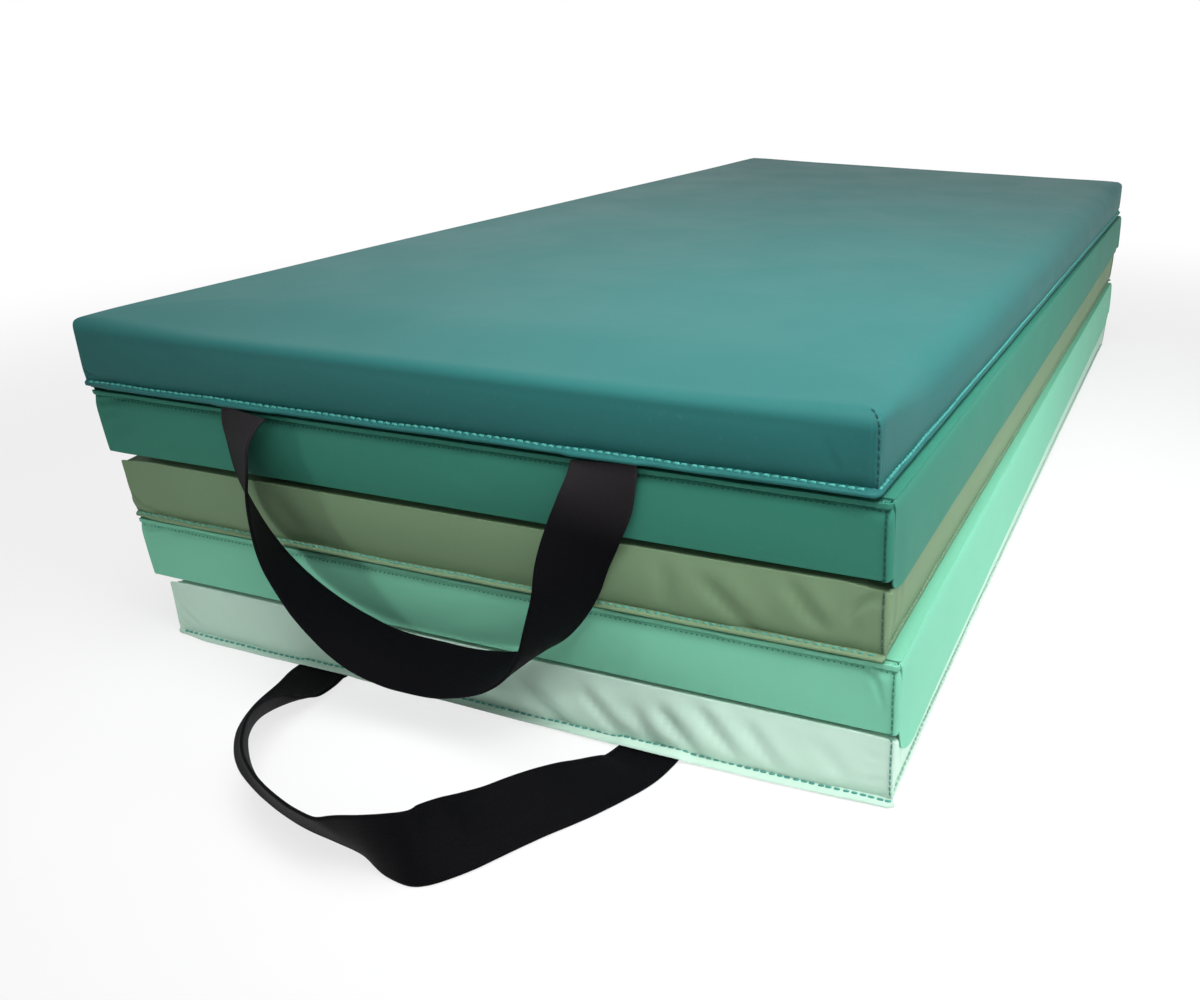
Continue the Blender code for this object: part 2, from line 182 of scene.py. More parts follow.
WEB_MIDDLES = {1: -0.0140, 5: 0.0025}  # x of each handle's middle
HANDLE_SPACING = 0.277
WEB_WIDTH = 0.045
WEB_THICKNESS = 0.0020

# Fold strips: number of the upper panel, and its side
FOLDS = ((1, -1), (2, 1), (3, -1), (4, 1))
STRIP_END_GAP = 0.0036
STRIP_THICKNESS_MM = 0.9
LAPS_MM = {1: (17, 17, 10), 2: (7, 4, 22), 3: (17, 17, 10), 4: (23, 9, 44)}  # near, far, round
SMALLEST_LAP_MM = 1.4
# Height above the fold as a share of the rise, or below it of the lap, and how far out in mm
STRIP_SHAPE = (
    (1.00, -0.9), (0.975, -0.2), (0.93, 0.45), (0.86, 0.9), (0.76, 1.2), (0.62, 1.5), (0.48, 1.65),
    (0.33, 1.75), (0.20, 1.8), (0.10, 1.85), (0.0, 1.85), (-0.15, 1.85), (-0.32, 1.85), (-0.5, 1.9),
    (-0.7, 1.95), (-0.88, 1.9), (-1.00, 1.75),
)
STRIP_RISE = {-1: 0.036, 1: 0.0488}  # up the wall above the fold, on the left and on the right

# Thread
STITCH_MM = 4.9
STITCH_GAP_MM = 0.7
THREAD_MM = {1: 1.9, 3: 1.5, 5: 1.6}
# One stitch: place along it, thickness and lift, as shares of half its length and its radius
STITCH_SHAPE = (
    (-1.0, 0.45, -0.9), (-0.72, 0.95, 0.0), (-0.2, 1.08, 0.35),
    (0.3, 1.08, 0.35), (0.75, 0.95, 0.0), (1.0, 0.45, -0.9),
)
STITCH_SIDES = 6
# The upright rows at the corners start at one ring of the cover. In the end walls and in the side
# walls: the ring they stop before, and their stitch, gap and thread in mm
CORNER_ROW_START = 2
END_WALL_ROW = 26, (3.7, 0.8, 1.25)
SIDE_WALL_ROW = 19, (3.4, 1.2, 0.8)
SIDE_WALL_PLACE = 0.0033  # of the side wall's row, from the corner's round
NEEDLE_MARKS = 1.1, 2.5, 0.75  # length, gap and thread in mm
NEEDLE_HEIGHT = 0.0064

COLOURS = {
    "vinyl_dark_teal": (0.0225, 0.134, 0.128),
    "vinyl_green": (0.041, 0.210, 0.150),
    "vinyl_sage": (0.175, 0.272, 0.157),
    "vinyl_mint": (0.189, 0.535, 0.374),
    "vinyl_pale_mint": (0.520, 0.715, 0.605),
}
GLOSS = {1: 0.085, 2: 0.045, 3: 0.045, 4: 0.045, 5: 0.045}
SLOTS = {
    1: "vinyl_dark_teal",
    2: "vinyl_green",
    3: "vinyl_sage",
    4: "vinyl_mint",
    5: "vinyl_pale_mint",
}
THREAD_COLOURS = {
    "teal_thread": (0.075, 0.385, 0.340),
    "grey_teal_thread": (0.12, 0.42, 0.33),
    "sea_thread": (0.10, 0.38, 0.32),
    "pale_sage_thread": (0.20, 0.33, 0.22),
    "pale_mint_thread": (0.36, 0.56, 0.47),
    "dark_teal_thread": (0.012, 0.075, 0.075),
    "dark_green_thread": (0.010, 0.085, 0.065),
    "slate_thread": (0.055, 0.13, 0.10),
    "forest_thread": (0.06, 0.27, 0.19),
    "lagoon_thread": (0.10, 0.33, 0.29),
}
HEM_THREADS = {1: "teal_thread", 3: "grey_teal_thread", 5: "sea_thread"}
SIDE_THREADS = {1: "teal_thread", 3: "pale_sage_thread", 5: "pale_mint_thread"}
CORNER_THREADS = {
    1: "dark_teal_thread",
    2: "dark_green_thread",
    3: "slate_thread",
    4: "forest_thread",
    5: "lagoon_thread",
}
GROUP_COLOUR = (0.1, 0.3, 0.3, 1.0)  # of a group's colour socket until a material sets it
RIB_PITCH = 0.0019  # of the web's ribs, across it
THREAD_PITCH = 0.0022  # of its crossing threads, along it

# Place, target, size, power and spread in degrees
LAMPS = {
    "near_lamp": ((0.35, -0.85, 0.95), (0.25, -0.5, 0.2), 0.5, 0.9, 80),
    "right_lamp": ((0.6, -0.6, 1.0), (0.2, -0.1, 0.2), 0.6, 2.6, 90),
    "overhead_lamp": ((0.15, -0.4, 1.5), (0.16, -0.32, 0.2), 0.8, 3.2, 100),
    "side_lamp": ((3.6, -0.75, 0.72), (0.3, -0.42, 0.10), 1.6, 5.6, 55),
    "left_lamp": ((-0.80, -1.30, 0.26), (-0.08, -0.52, 0.01), 0.12, 0.085, 34),
    "back_lamp": ((0, 3.6, 0.9), (0, 0.2, 0.2), 3.0, 3.8, 180),
    "far_left_lamp": ((-2.2, 2.6, 1.0), (0, 0.1, 0.2), 2.0, 4.3, 180),
}
ROOM_LIGHT = 0.228


# Small tools

def smoothstep(value):
    value = np.clip(value, 0.0, 1.0)
    return value * value * (3 - 2 * value)


def bump_shape(distance, width):
    return np.exp(-((distance / width) ** 2))


def unit(rows):
    """The same vectors at length 1."""
    return rows / np.linalg.norm(rows, axis=1)[:, None]


def length_along(path):
    """Length of a path up to each of its points."""
    return np.concatenate([[0.0], np.cumsum(np.linalg.norm(np.diff(path, axis=0), axis=1))])


def headings(path):
    """Unit vectors along a path at each of its points."""
    padded = np.vstack([path[:1], path, path[-1:]])
    return unit(padded[2:] - padded[:-2])


def points_at(where, run, path):
    """The points of a path at given lengths along it."""
    return np.column_stack([np.interp(where, run, column) for column in path.T])


def wander(places, spacing, seed):
    """Smooth random values from -1 to 1 along a line, one new value every spacing."""
    count, offset = 1024, 300.0
    values = np.random.default_rng(seed).uniform(-1, 1, count)
    scaled = np.asarray(places, float) / spacing + offset
    cell = np.floor(scaled).astype(int)
    share = smoothstep(scaled - cell)
    return values[cell % count] * (1 - share) + values[(cell + 1) % count] * share


def waves(across, along, spacing_across, spacing_along, seed):
    """Smooth random values from -1 to 1 over a surface."""
    count, offset = 128, 40.0
    values = np.random.default_rng(seed).uniform(-1, 1, (count, count))
    u = np.asarray(across, float) / spacing_across + offset
    v = np.asarray(along, float) / spacing_along + offset
    cell_u, cell_v = np.floor(u).astype(int), np.floor(v).astype(int)
    share_u, share_v = smoothstep(u - cell_u), smoothstep(v - cell_v)
    rows = []
    for j in (0, 1):
        here, beside = [values[(cell_u + i) % count, (cell_v + j) % count] for i in (0, 1)]
        rows.append(here * (1 - share_u) + beside * share_u)
    return rows[0] * (1 - share_v) + rows[1] * share_v


def mesh_piece(name, points, faces, finish, smooth_angle=None):
    """A smooth-shaded mesh object in the mat's frame."""
    mesh = bpy.data.meshes.new(name)
    mesh.from_pydata(np.asarray(points, float).tolist(), [], faces)
    mesh.validate()
    mesh.shade_smooth()
    if smooth_angle is not None:
        mesh.set_sharp_from_angle(angle=math.radians(smooth_angle))
    mesh.materials.append(finish)
    piece = bpy.data.objects.new(name, mesh)
    bpy.context.scene.collection.objects.link(piece)
    return piece


def band_faces(rows, columns, closed_rows, closed_columns, first=0):
    """Quads of a grid of points stored row by row."""
    here = np.arange(rows if closed_rows else rows - 1)[:, None]
    side = np.arange(columns if closed_columns else columns - 1)[None, :]
    next_row, next_side = (here + 1) % rows, (side + 1) % columns
    corners = ((here, side), (here, next_side), (next_row, next_side), (next_row, side))
    return (np.stack([row * columns + k for row, k in corners], axis=-1).reshape(-1, 4) + first).tolist()


def cap_faces(rows, columns):
    """The two end caps of a tube whose sections are rows of points."""
    first, last = range(columns), range((rows - 1) * columns, rows * columns)
    return [tuple(reversed(first)), tuple(last)]


def turned_over(faces):
    return [face[::-1] for face in faces]


# Panels' places and outlines

class Panel:
    """Where one panel lies: its middle, half sizes, underside as sewn, and height."""

    def __init__(self, number):
        low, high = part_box(f"panel_{number}_base_sheet")
        cover_low, cover_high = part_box(f"panel_{number}_cover")
        self.number = number
        self.turned = number in TURNED
        self.middle = (low + high) / 2
        self.half_width = (high.x - low.x) / 2
        self.half_length = (high.y - low.y) / 2
        self.base = high.z if self.turned else low.z
        self.height = cover_high.z - low.z if not self.turned else high.z - cover_low.z
        self.floor = min(low.z, cover_low.z)

    def place(self, points):
        """Points in the panel's own frame, base down, put where the panel lies."""
        placed = np.array(points, float)
        if self.turned:
            placed[:, 0] *= -1
            placed[:, 2] *= -1
        across = np.clip((placed[:, 0] + self.half_width) / (2 * self.half_width), 0, 1)
        placed[:, 0] -= self.narrowing(placed[:, 1]) * across
        placed[:, 0] += LEFT_IN_MM[self.number] * MM * (1 - across)
        return placed + np.array([self.middle.x, self.middle.y, self.base])

    def narrowing(self, y):
        """How far the right wall lies in from its place at the handle end."""
        along = np.clip((np.asarray(y) + self.half_length) / (2 * self.half_length), 0, 1)
        return NARROWING[self.number] * along ** 0.65


def side_steps(run, fine, coarse):
    """Shares from 0 to 1 along a side, close together near both corners."""
    places = [0.0]
    while places[-1] < run / 2:
        past = max(places[-1] - 0.016, 0.0)
        places.append(places[-1] + min(fine + 0.16 * past, coarse))
    half = np.array(places) / places[-1] / 2
    return np.concatenate([half, 1 - half[-2::-1]])


def corner_normals(out, along, steps):
    angles = math.pi / 2 * np.arange(1, steps) / steps
    return np.outer(np.cos(angles), out) + np.outer(np.sin(angles), along)


class Outline:
    """Stations round a rectangle with round corners, anticlockwise from its front left."""

    def __init__(self, panel, fine=0.0010, coarse_end=0.005, coarse_side=0.008, corner_steps=7):
        self.half = np.array([panel.half_width, panel.half_length])
        self.radius = CORNER_RADIUS_MM[panel.number] * MM
        end_steps = side_steps(2 * (panel.half_width - self.radius), fine, coarse_end)
        long_steps = side_steps(2 * (panel.half_length - self.radius), fine, coarse_side)
        self.end_count = len(end_steps)
        self.long_count = len(long_steps)
        self.corner_count = corner_steps - 1
        sides = (
            ((1, 0), (0, -1), end_steps),
            ((0, 1), (1, 0), long_steps),
            ((-1, 0), (0, 1), end_steps),
            ((0, -1), (-1, 0), long_steps),
        )
        along_axes, out_axes, shares, normals = [], [], [], []
        for along, out, steps in sides:
            turns = corner_normals(out, along, corner_steps)
            count = len(steps) + len(turns)
            shares += [*steps, *([1.0] * len(turns))]
            along_axes += [along] * count
            out_axes += [out] * count
            normals += [out] * len(steps) + turns.tolist()
        self.along = np.array(along_axes, float)
        self.out = np.array(out_axes, float)
        self.share = np.array(shares)
        self.normal = np.array(normals, float)
        self.count = len(self.share)

    def ring(self, insets=(0.0, 0.0, 0.0), radius=None):
        """Places of the stations, set in from the ends, the left and the right."""
        radius = self.radius if radius is None else radius
        inset_y, inset_left, inset_right = insets
        half = self.half - np.array([(inset_left + inset_right) / 2, inset_y])
        half_along = np.abs(self.along @ half)
        half_out = np.abs(self.out @ half)
        run = half_along - radius
        straight = self.along * (run * (2 * self.share - 1))[:, None]
        straight += self.out * (half_out - radius)[:, None]
        straight[:, 0] += (inset_left - inset_right) / 2
        return straight + self.normal * radius

    def distance(self):
        """Distance along each side from its nearer corner."""
        length = 2 * np.abs(self.along @ self.half)
        return length * np.minimum(self.share, 1 - self.share)

    def run_length(self):
        """Length round the outline up to each station."""
        return length_along(self.ring())


# Covers

def fold_depth(across, height, route, depth, width):
    """How far a soft fold moves the wall, in mm: in along the route and out beside it."""
    start, middle, end = [np.array(point, float) for point in route]
    steps = 40
    t = np.linspace(0, 1, steps)[:, None]
    control = 2 * middle - (start + end) / 2
    line = (1 - t) ** 2 * start + 2 * t * (1 - t) * control + t * t * end
    heading = unit(np.gradient(line, axis=0))
    offset_x = across[:, None] - line[None, :, 0]
    offset_z = height[:, None] - line[None, :, 1]
    distance = offset_x ** 2 + offset_z ** 2
    nearest = distance.argmin(axis=1)
    rows = np.arange(len(across))
    gap = heading[nearest, 0] * offset_z[rows, nearest] - heading[nearest, 1] * offset_x[rows, nearest]
    past_end = np.sqrt(np.maximum(distance[rows, nearest] - gap ** 2, 0))
    share = nearest / (steps - 1)
    strength = smoothstep(share / 0.3) * smoothstep((1 - share) / 0.35) * bump_shape(past_end, width)
    valley = -bump_shape(gap, width * 0.55)
    shoulders = 0.55 * bump_shape(gap - 1.25 * width, width) + 0.3 * bump_shape(gap + 1.3 * width, width)
    return depth * strength * (valley + shoulders)


def by_side(outline, end, left, right):
    """A value for each station from the ones on the ends, on the left and on the right."""
    on_end = outline.normal[:, 1] ** 2
    side = np.where(outline.normal[:, 0] < 0, left, right)
    return end * on_end + side * (1 - on_end)


def wall_shape(panel, outline, height, edge_start):
    """How far the side walls stand out at each point, in mm. height is from the base, in metres."""
    share = np.clip((height - SEAM_TOP) / (edge_start - SEAM_TOP), 0, 1)
    on_end = outline.normal[:, 1] ** 2
    corner_fade = smoothstep(outline.distance() / 0.060)
    run = outline.run_length()
    swell = by_side(outline, *SWELL_MM) * np.sin(math.pi * share) ** 0.8
    out = swell * (0.2 + 0.8 * corner_fade)
    out += 0.35 * wander(run, 0.085, 11 + panel.number) * np.sin(math.pi * share)
    out -= by_side(outline, 0.0, *TUCK_MM[panel.number]) * (1 - share) ** 1.4
    out -= by_side(outline, *PINCH_MM) * bump_shape(height - PINCH_HEIGHT, 0.0045)
    puckers = wander(run, 0.013, 21 + panel.number) + 0.6 * wander(run, 0.006, 31 + panel.number)
    low_down = np.exp(-np.maximum(height - PINCH_HEIGHT, 0) / 0.006)
    out += PUCKER_MM * puckers * low_down * (0.4 + 0.6 * on_end)
    crease, tall = SEAM_CREASE_MM[panel.number]
    out -= crease * on_end * bump_shape(height, tall * MM)
    bow = front_bow(panel, outline.ring()[:, 0], outline.normal)
    out += 0.8 * bow * (1 - smoothstep(share * 1.6))
    return out


def corner_seam(panel, outline, height):
    """The upright seams at the corners: a ridge round each, and a stitched groove in the end wall."""
    from_corner = outline.distance() / MM
    lies_right = outline.ring()[:, 0] * (-1 if panel.turned else 1) > 0
    ridge = RIDGE_MM[panel.number] * (1 - smoothstep((from_corner - 0.2) / 1.4))
    groove = 0.55 * bump_shape(from_corner - max(SEAM_PLACE_MM[panel.number], 0.0) - 0.5, 0.8)
    upright = smoothstep((height - 0.003) / 0.004)
    return (ridge - groove) * np.where(lies_right, 1.0, 0.12) * upright


def top_fall(panel, x, y):
    """How far the face lies under its crown, in mm."""
    fall_end = EDGE_ROUNDS_MM[panel.number][3]
    across = np.clip(1 - (x / panel.half_width) ** 2, 0, 1)
    along = np.clip(1 - (y / panel.half_length) ** 2, 0, 1)
    from_end = panel.half_length - np.abs(y)
    from_side = panel.half_width - np.abs(x)
    reach = 0.105
    at_handles = np.where(y < 0, 1.0, 0.35)
    at_corners = 0.2 if panel.number == 1 else 0.75
    end_part = fall_end * (at_corners + (1 - at_corners) * smoothstep(1.4 * across)) * at_handles
    end_part = end_part * (1 - smoothstep(from_end / reach))
    side_part = (0.6 + 1.2 * smoothstep(1.6 * along)) * (1 - smoothstep(from_side / reach))
    corner = np.hypot(from_end, from_side)
    drop = CORNER_DROP_MM[panel.number] * bump_shape(corner, 0.016)
    return np.maximum(end_part, side_part) + drop


def top_waves(panel, x, y):
    """Slight unevenness of the foam and the cloth on it, in mm, never above the crown."""
    uneven = 0.40 * waves(x, y, 0.19, 0.27, 41 + panel.number)
    uneven += 0.06 * waves(x, y, 0.080, 0.11, 51 + panel.number)
    return uneven - 0.5


def back_lift(panel, x, y, share):
    """The top panel is puffed up towards its far left corner. share is 0 low on the wall."""
    if panel.number != 1:
        return np.zeros_like(x)
    leftward = np.clip((panel.half_width - x) / (2 * panel.half_width), 0, 1)
    backward = np.clip((y + panel.half_length) / (2 * panel.half_length), 0, 1)
    near, more = LEFT_LIFT_MM
    return leftward ** 0.9 * (near + more * backward ** 0.75) * share


def squarer(panel, x, y):
    """How much less the right edge is rounded near the ends of the top panel, in metres."""
    if panel.number != 1:
        return np.zeros_like(x)
    near_end = 1 - smoothstep((panel.half_length - np.abs(y)) / 0.11)
    across = np.clip((x + panel.half_width) / (2 * panel.half_width), 0, 1)
    return SQUARER_MM * MM * near_end * across ** 9


def face_fall(panel, x, y):
    """How far the uneven face lies under its crown, in metres."""
    return (top_fall(panel, x, y) - top_waves(panel, x, y)) * MM


def edge_rounds(panel):
    """Round of the end edges, of the left edge and of the right edge, in metres."""
    return [value * MM for value in EDGE_ROUNDS_MM[panel.number][:3]]


def cover_rings(panel, outline, set_in):
    """Rings of points from the rim up to the flat of the face, and the last ring's insets."""
    ends, left, right = edge_rounds(panel)
    x, y = outline.ring().T
    right_side = np.maximum(outline.normal[:, 0], 0.0) ** 2
    rounds = by_side(outline, ends, left, right) - squarer(panel, x, y) * right_side
    fall = face_fall(panel, x, y)
    low = 0.35 * np.maximum(fall - 0.5 * rounds, 0.0)
    edge_start = panel.height - rounds - low
    rings = []
    for step in range(WALL_STEPS + 1):
        share = (step / WALL_STEPS) ** 1.15
        height = RIM_HEIGHT + (edge_start - RIM_HEIGHT) * share
        rings.append(wall_ring(panel, outline, height, edge_start, 0.0, low, set_in))
    for turn in np.radians(np.linspace(0, 90, ROUND_STEPS + 1)[1:]):
        height = edge_start + rounds * math.sin(turn)
        rings.append(wall_ring(panel, outline, height, edge_start, turn, low, set_in))
    for step in FACE_STEPS_MM:
        insets = tuple(value + step * MM for value in (ends, left, right))
        x, y = outline.ring(insets, SMALLEST_CORNER).T
        rings.append(top_points(panel, x, y, set_in))
    return rings, insets


def fold_shape(panel, outline, xy, height):
    """All the soft folds of the front wall and of the right wall, in mm."""
    above = height / MM
    across = (xy[:, 0] + panel.half_width) / MM
    along = (xy[:, 1] + panel.half_length) / MM
    right = outline.normal[:, 0] > 0.999
    if panel.turned:
        across = 2 * panel.half_width / MM - across
        above = panel.height / MM - above
        right = outline.normal[:, 0] < -0.999
    front = outline.normal[:, 1] < -0.999
    out = np.zeros(outline.count)
    for places, on_wall, folds in (
        (across, front, FOLDS_MM[panel.number]), (along, right, SIDE_FOLDS_MM[panel.number])
    ):
        for route, depth, width in folds:
            out[on_wall] += fold_depth(places[on_wall], above[on_wall], route, depth, width)
    return out


def wall_ring(panel, outline, height, edge_start, turn, low, set_in):
    """One ring on the wall, or on the rounded edge once turn is more than 0.

    low is the part of the face's fall that is already taken off the wall.
    """
    insets = [value * (1 - math.cos(turn)) for value in edge_rounds(panel)]
    radius = max(outline.radius - 0.5 * min(insets), SMALLEST_CORNER)
    xy = outline.ring(insets, radius)
    xy[:, 0] += squarer(panel, xy[:, 0], xy[:, 1]) * (1 - math.cos(turn))
    lean = max(math.cos(turn), 0.0)
    out_mm = wall_shape(panel, outline, height, edge_start) + corner_seam(panel, outline, height)
    out_mm = out_mm * lean + fold_shape(panel, outline, xy, height) * lean ** 0.5
    out = out_mm * MM - set_in * lean
    xy = xy + outline.normal * out[:, None]
    x, y = xy.T
    fall = (face_fall(panel, x, y) - low) * smoothstep(turn / (math.pi / 2))
    lifted = back_lift(panel, x, y, np.clip(height / panel.height, 0, 1)) * MM
    return np.column_stack([xy, height - fall + lifted - set_in * math.sin(turn)])


def top_points(panel, x, y, set_in):
    """Points of the face at the given places."""
    x = x + squarer(panel, x, y)
    lifted = back_lift(panel, x, y, np.ones_like(x)) * MM
    return np.column_stack([x, y, panel.height - face_fall(panel, x, y) + lifted - set_in])


def face_middle(outline, insets, first):
    """Grid places inside a ring, quads between them, and which one each station joins."""
    ring = outline.ring(insets, 1e-6)
    wide, long = outline.end_count, outline.long_count
    xs = ring[:wide, 0]
    ys = ring[wide + outline.corner_count:wide + outline.corner_count + long, 1]
    grid_x, grid_y = np.meshgrid(xs, ys)
    edge = (
        [first + i for i in range(wide)],
        [first + row * wide + wide - 1 for row in range(long)],
        [first + (long - 1) * wide + i for i in reversed(range(wide))],
        [first + row * wide for row in reversed(range(long))],
    )
    inner = []
    for side in edge:
        inner += side
        inner += [side[-1]] * outline.corner_count
    return grid_x.ravel(), grid_y.ravel(), band_faces(long, wide, False, False, first), inner


def joined_rings(outer, inner, count):
    """Faces from a ring whose first point is outer to the points named in inner."""
    faces = []
    for i in range(count):
        j = (i + 1) % count
        ends = (inner[i],) if inner[i] == inner[j] else (inner[j], inner[i])
        faces.append((outer + i, outer + j, *ends))
    return faces


def cover_skin(panel, outline, set_in):
    """Points and faces of one padded skin, open at the rim. The face's middle is a plain grid."""
    rings, insets = cover_rings(panel, outline, set_in)
    rows = len(rings)
    faces = band_faces(rows, outline.count, False, True)
    insets = tuple(value + FACE_GRID_INSET for value in insets)
    x, y, grid_faces, inner = face_middle(outline, insets, rows * outline.count)
    points = np.vstack([*rings, top_points(panel, x, y, set_in)])
    faces += grid_faces
    faces += joined_rings((rows - 1) * outline.count, inner, outline.count)
    return points, faces


def make_cover(panel, finish):
    """A closed shell: the outer skin, and an inner one a cloth's thickness inside it."""
    outline = Outline(panel)
    outer, outer_faces = cover_skin(panel, outline, 0.0)
    inner, inner_faces = cover_skin(panel, outline, COVER_WALL)
    first = len(outer)
    faces = outer_faces + [[first + i for i in reversed(face)] for face in inner_faces]
    for i in range(outline.count):
        j = (i + 1) % outline.count
        faces.append((j, i, first + i, first + j))
    name = f"panel_{panel.number}_padded_cover"
    piece = mesh_piece(name, panel.place(np.vstack([outer, inner])), faces, finish)
    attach(piece, f"panel_{panel.number}")
    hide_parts(f"panel_{panel.number}_cover")


def make_foam(panel, finish):
    """The foam fills the cover with a little air at its edges."""
    outline = Outline(panel, fine=0.008, coarse_end=0.02, coarse_side=0.03, corner_steps=4)
    points, faces = cover_skin(panel, outline, COVER_WALL + FOAM_GAP)
    points[:, Z] *= FOAM_SQUEEZE
    points[:outline.count, Z] = FOAM_FLOOR
    faces.append(list(reversed(range(outline.count))))
    piece = mesh_piece(f"panel_{panel.number}_foam", panel.place(points), faces, finish, 50)
    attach(piece, f"panel_{panel.number}")
    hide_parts(f"panel_{panel.number}_foam_core")


def make_base(panel, finish):
    """The flat sheet that closes the cover, a little slack between its seams."""
    outline = Outline(panel, fine=0.006, coarse_end=0.012, coarse_side=0.016, corner_steps=5)
    tucks = [value * MM for value in TUCK_MM[panel.number]]
    crease = SEAM_CREASE_MM[panel.number][0] * MM
    *ring_insets, grid_inset = [
        (step + crease, step + tucks[0], step + tucks[1]) for step in (0.0, 0.006, 0.012)
    ]
    rows = len(ring_insets)
    points, faces = [], []
    for level, underside in ((0.0, True), (SHEET, False)):
        first = len(points)
        skin = [(x, y, level) for inset in ring_insets for x, y in outline.ring(inset)]
        x, y, grid_faces, inner = face_middle(outline, grid_inset, rows * outline.count)
        slack = 0.2 * MM * (1 + waves(x, y, 0.12, 0.16, 61 + panel.number))
        slack *= smoothstep((panel.half_width - 0.020 - np.abs(x)) / 0.04)
        slack *= smoothstep((panel.half_length - 0.020 - np.abs(y)) / 0.04)
        skin += list(zip(x, y, level + slack))
        own = band_faces(rows, outline.count, False, True) + grid_faces
        own += joined_rings((rows - 1) * outline.count, inner, outline.count)
        own = [[first + i for i in face] for face in own]
        faces += turned_over(own) if underside else own
        points += skin
    upper = len(points) // 2
    for i in range(outline.count):
        j = (i + 1) % outline.count
        faces.append((i, j, upper + j, upper + i))
    piece = mesh_piece(f"panel_{panel.number}_base_cloth", panel.place(points), faces, finish, 50)
    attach(piece, f"panel_{panel.number}")
    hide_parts(f"panel_{panel.number}_base_sheet")


# Hems and thread

def open_sides(panel):
    """Sides of a panel in its own frame, -1 left and 1 right, where fold cloth covers the seam."""
    sides = []
    for upper, side in FOLDS:
        at_base = upper % 2 == 1 and panel.number in (upper, upper + 1)
        over_wall = side > 0 and panel.number == upper
        if at_base or over_wall:
            sides.append(-side if panel.turned else side)
    return sides


def hem_path(panel):
    """Even steps round the outline: places, outward normals, and length from the first."""
    outline = Outline(panel, fine=0.001, coarse_end=0.002, coarse_side=0.002, corner_steps=10)
    ring = outline.ring()
    run = outline.run_length()
    total = run[-1] + np.linalg.norm(ring[0] - ring[-1])
    count = int(total / HEM_STEP)
    where = np.arange(count) * total / count
    wrapped = np.append(run, total)
    places, normals = [
        points_at(where, wrapped, np.vstack([rows, rows[:1]])) for rows in (ring, outline.normal)
    ]
    return places, unit(normals), where


def web_lift(panel, places, normals):
    """1 where a handle's web runs under the hem, else 0."""
    lift = np.zeros(len(places))
    if panel.number in WEB_MIDDLES:
        for side in (-1, 1):
            x = WEB_MIDDLES[panel.number] + side * HANDLE_SPACING / 2 - panel.middle.x
            beside = np.abs(places[:, 0] - x) - WEB_WIDTH / 2
            lift = np.maximum(lift, 1 - smoothstep((beside + 0.001) / 0.009))
    return np.where(normals[:, 1] < -0.9, lift, 0.0)


def front_bow(panel, x, normals):
    """How far the lowest seam bows out in front, in mm."""
    bow = FRONT_BOW_MM[panel.number] * bump_shape(x - 0.13, 0.17)
    return bow * smoothstep(-normals[:, 1]) * smoothstep((panel.half_width - np.abs(x)) / 0.05)


def hem_sections(panel):
    """Cross-sections of the rolled hem, each a row of points, and the outward normals."""
    places, normals, run = hem_path(panel)
    number = panel.number
    on_end = normals[:, 1] ** 2
    on_left = normals[:, 0] < 0
    side_depth = np.where(on_left, HEM_LEFT_MM[number], HEM_SIDE_DEPTH_MM[number])
    from_left = places[:, 0] + panel.half_width
    end_depth = HEM_DEPTH_MM[number] * (0.3 + 0.7 * smoothstep((from_left - 0.001) / 0.030))
    depth = end_depth * on_end + side_depth * (1 - on_end)
    tuck = np.where(on_left, *TUCK_MM[number])
    places = places - normals * (tuck * MM * (1 - on_end))[:, None]
    lift = web_lift(panel, places, normals)
    depth = depth + 1.6 * lift + front_bow(panel, places[:, 0], normals)
    depth += (0.28 * wander(run, 0.022, 71 + number) - 0.1) * (0.35 + 0.65 * on_end)
    pitch = (STITCH_MM + STITCH_GAP_MM) * MM
    rope = np.cos(2 * math.pi * run / pitch)
    depth += 0.16 * rope * on_end
    height = HEM_HEIGHT_MM[number] + 0.35 * wander(run, 0.030, 81 + number) + 0.15 * rope
    raised = HEM_RAISED_MM[number] + 0.2 * wander(run, 0.045, 91 + number)
    if number == 5:
        raised = raised + 2.0 * lift
    sections = []
    for out, up in HEM_SECTION:
        reach = depth * out if out > 0 else np.full_like(depth, out)
        level = np.maximum(0.35 + raised, 0.3) + height * up
        sections.append(np.column_stack([places + normals * (reach * MM)[:, None], level * MM]))
    return np.stack(sections, axis=1), normals


def split_runs(normals, panel):
    """The stretches of the outline that keep their hem, as indexes, and whether it is unbroken."""
    keep = np.ones(len(normals), bool)
    for side in open_sides(panel):
        keep &= normals[:, 0] * side < 0.985
    if keep.all():
        return [np.arange(len(keep))], True
    start = next(i for i in range(len(keep)) if keep[i] and not keep[i - 1])
    order = (start + np.arange(len(keep))) % len(keep)
    breaks = np.flatnonzero(np.diff(keep[order].astype(int))) + 1
    return [run for run in np.split(order, breaks) if keep[run[0]]], False


def make_hem(panel, finish):
    sections, normals = hem_sections(panel)
    runs, closed = split_runs(normals, panel)
    parts = []
    for order in runs:
        count, size = sections[order].shape[:2]
        faces = band_faces(count, size, closed, True)
        if not closed:
            faces += cap_faces(count, size)
        parts.append((sections[order].reshape(-1, 3), turned_over(faces)))
    points, faces = merge(parts)
    piece = mesh_piece(f"panel_{panel.number}_hem", panel.place(points), faces, finish, 60)
    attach(piece, f"panel_{panel.number}")
    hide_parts(f"panel_{panel.number}_seam_binding")


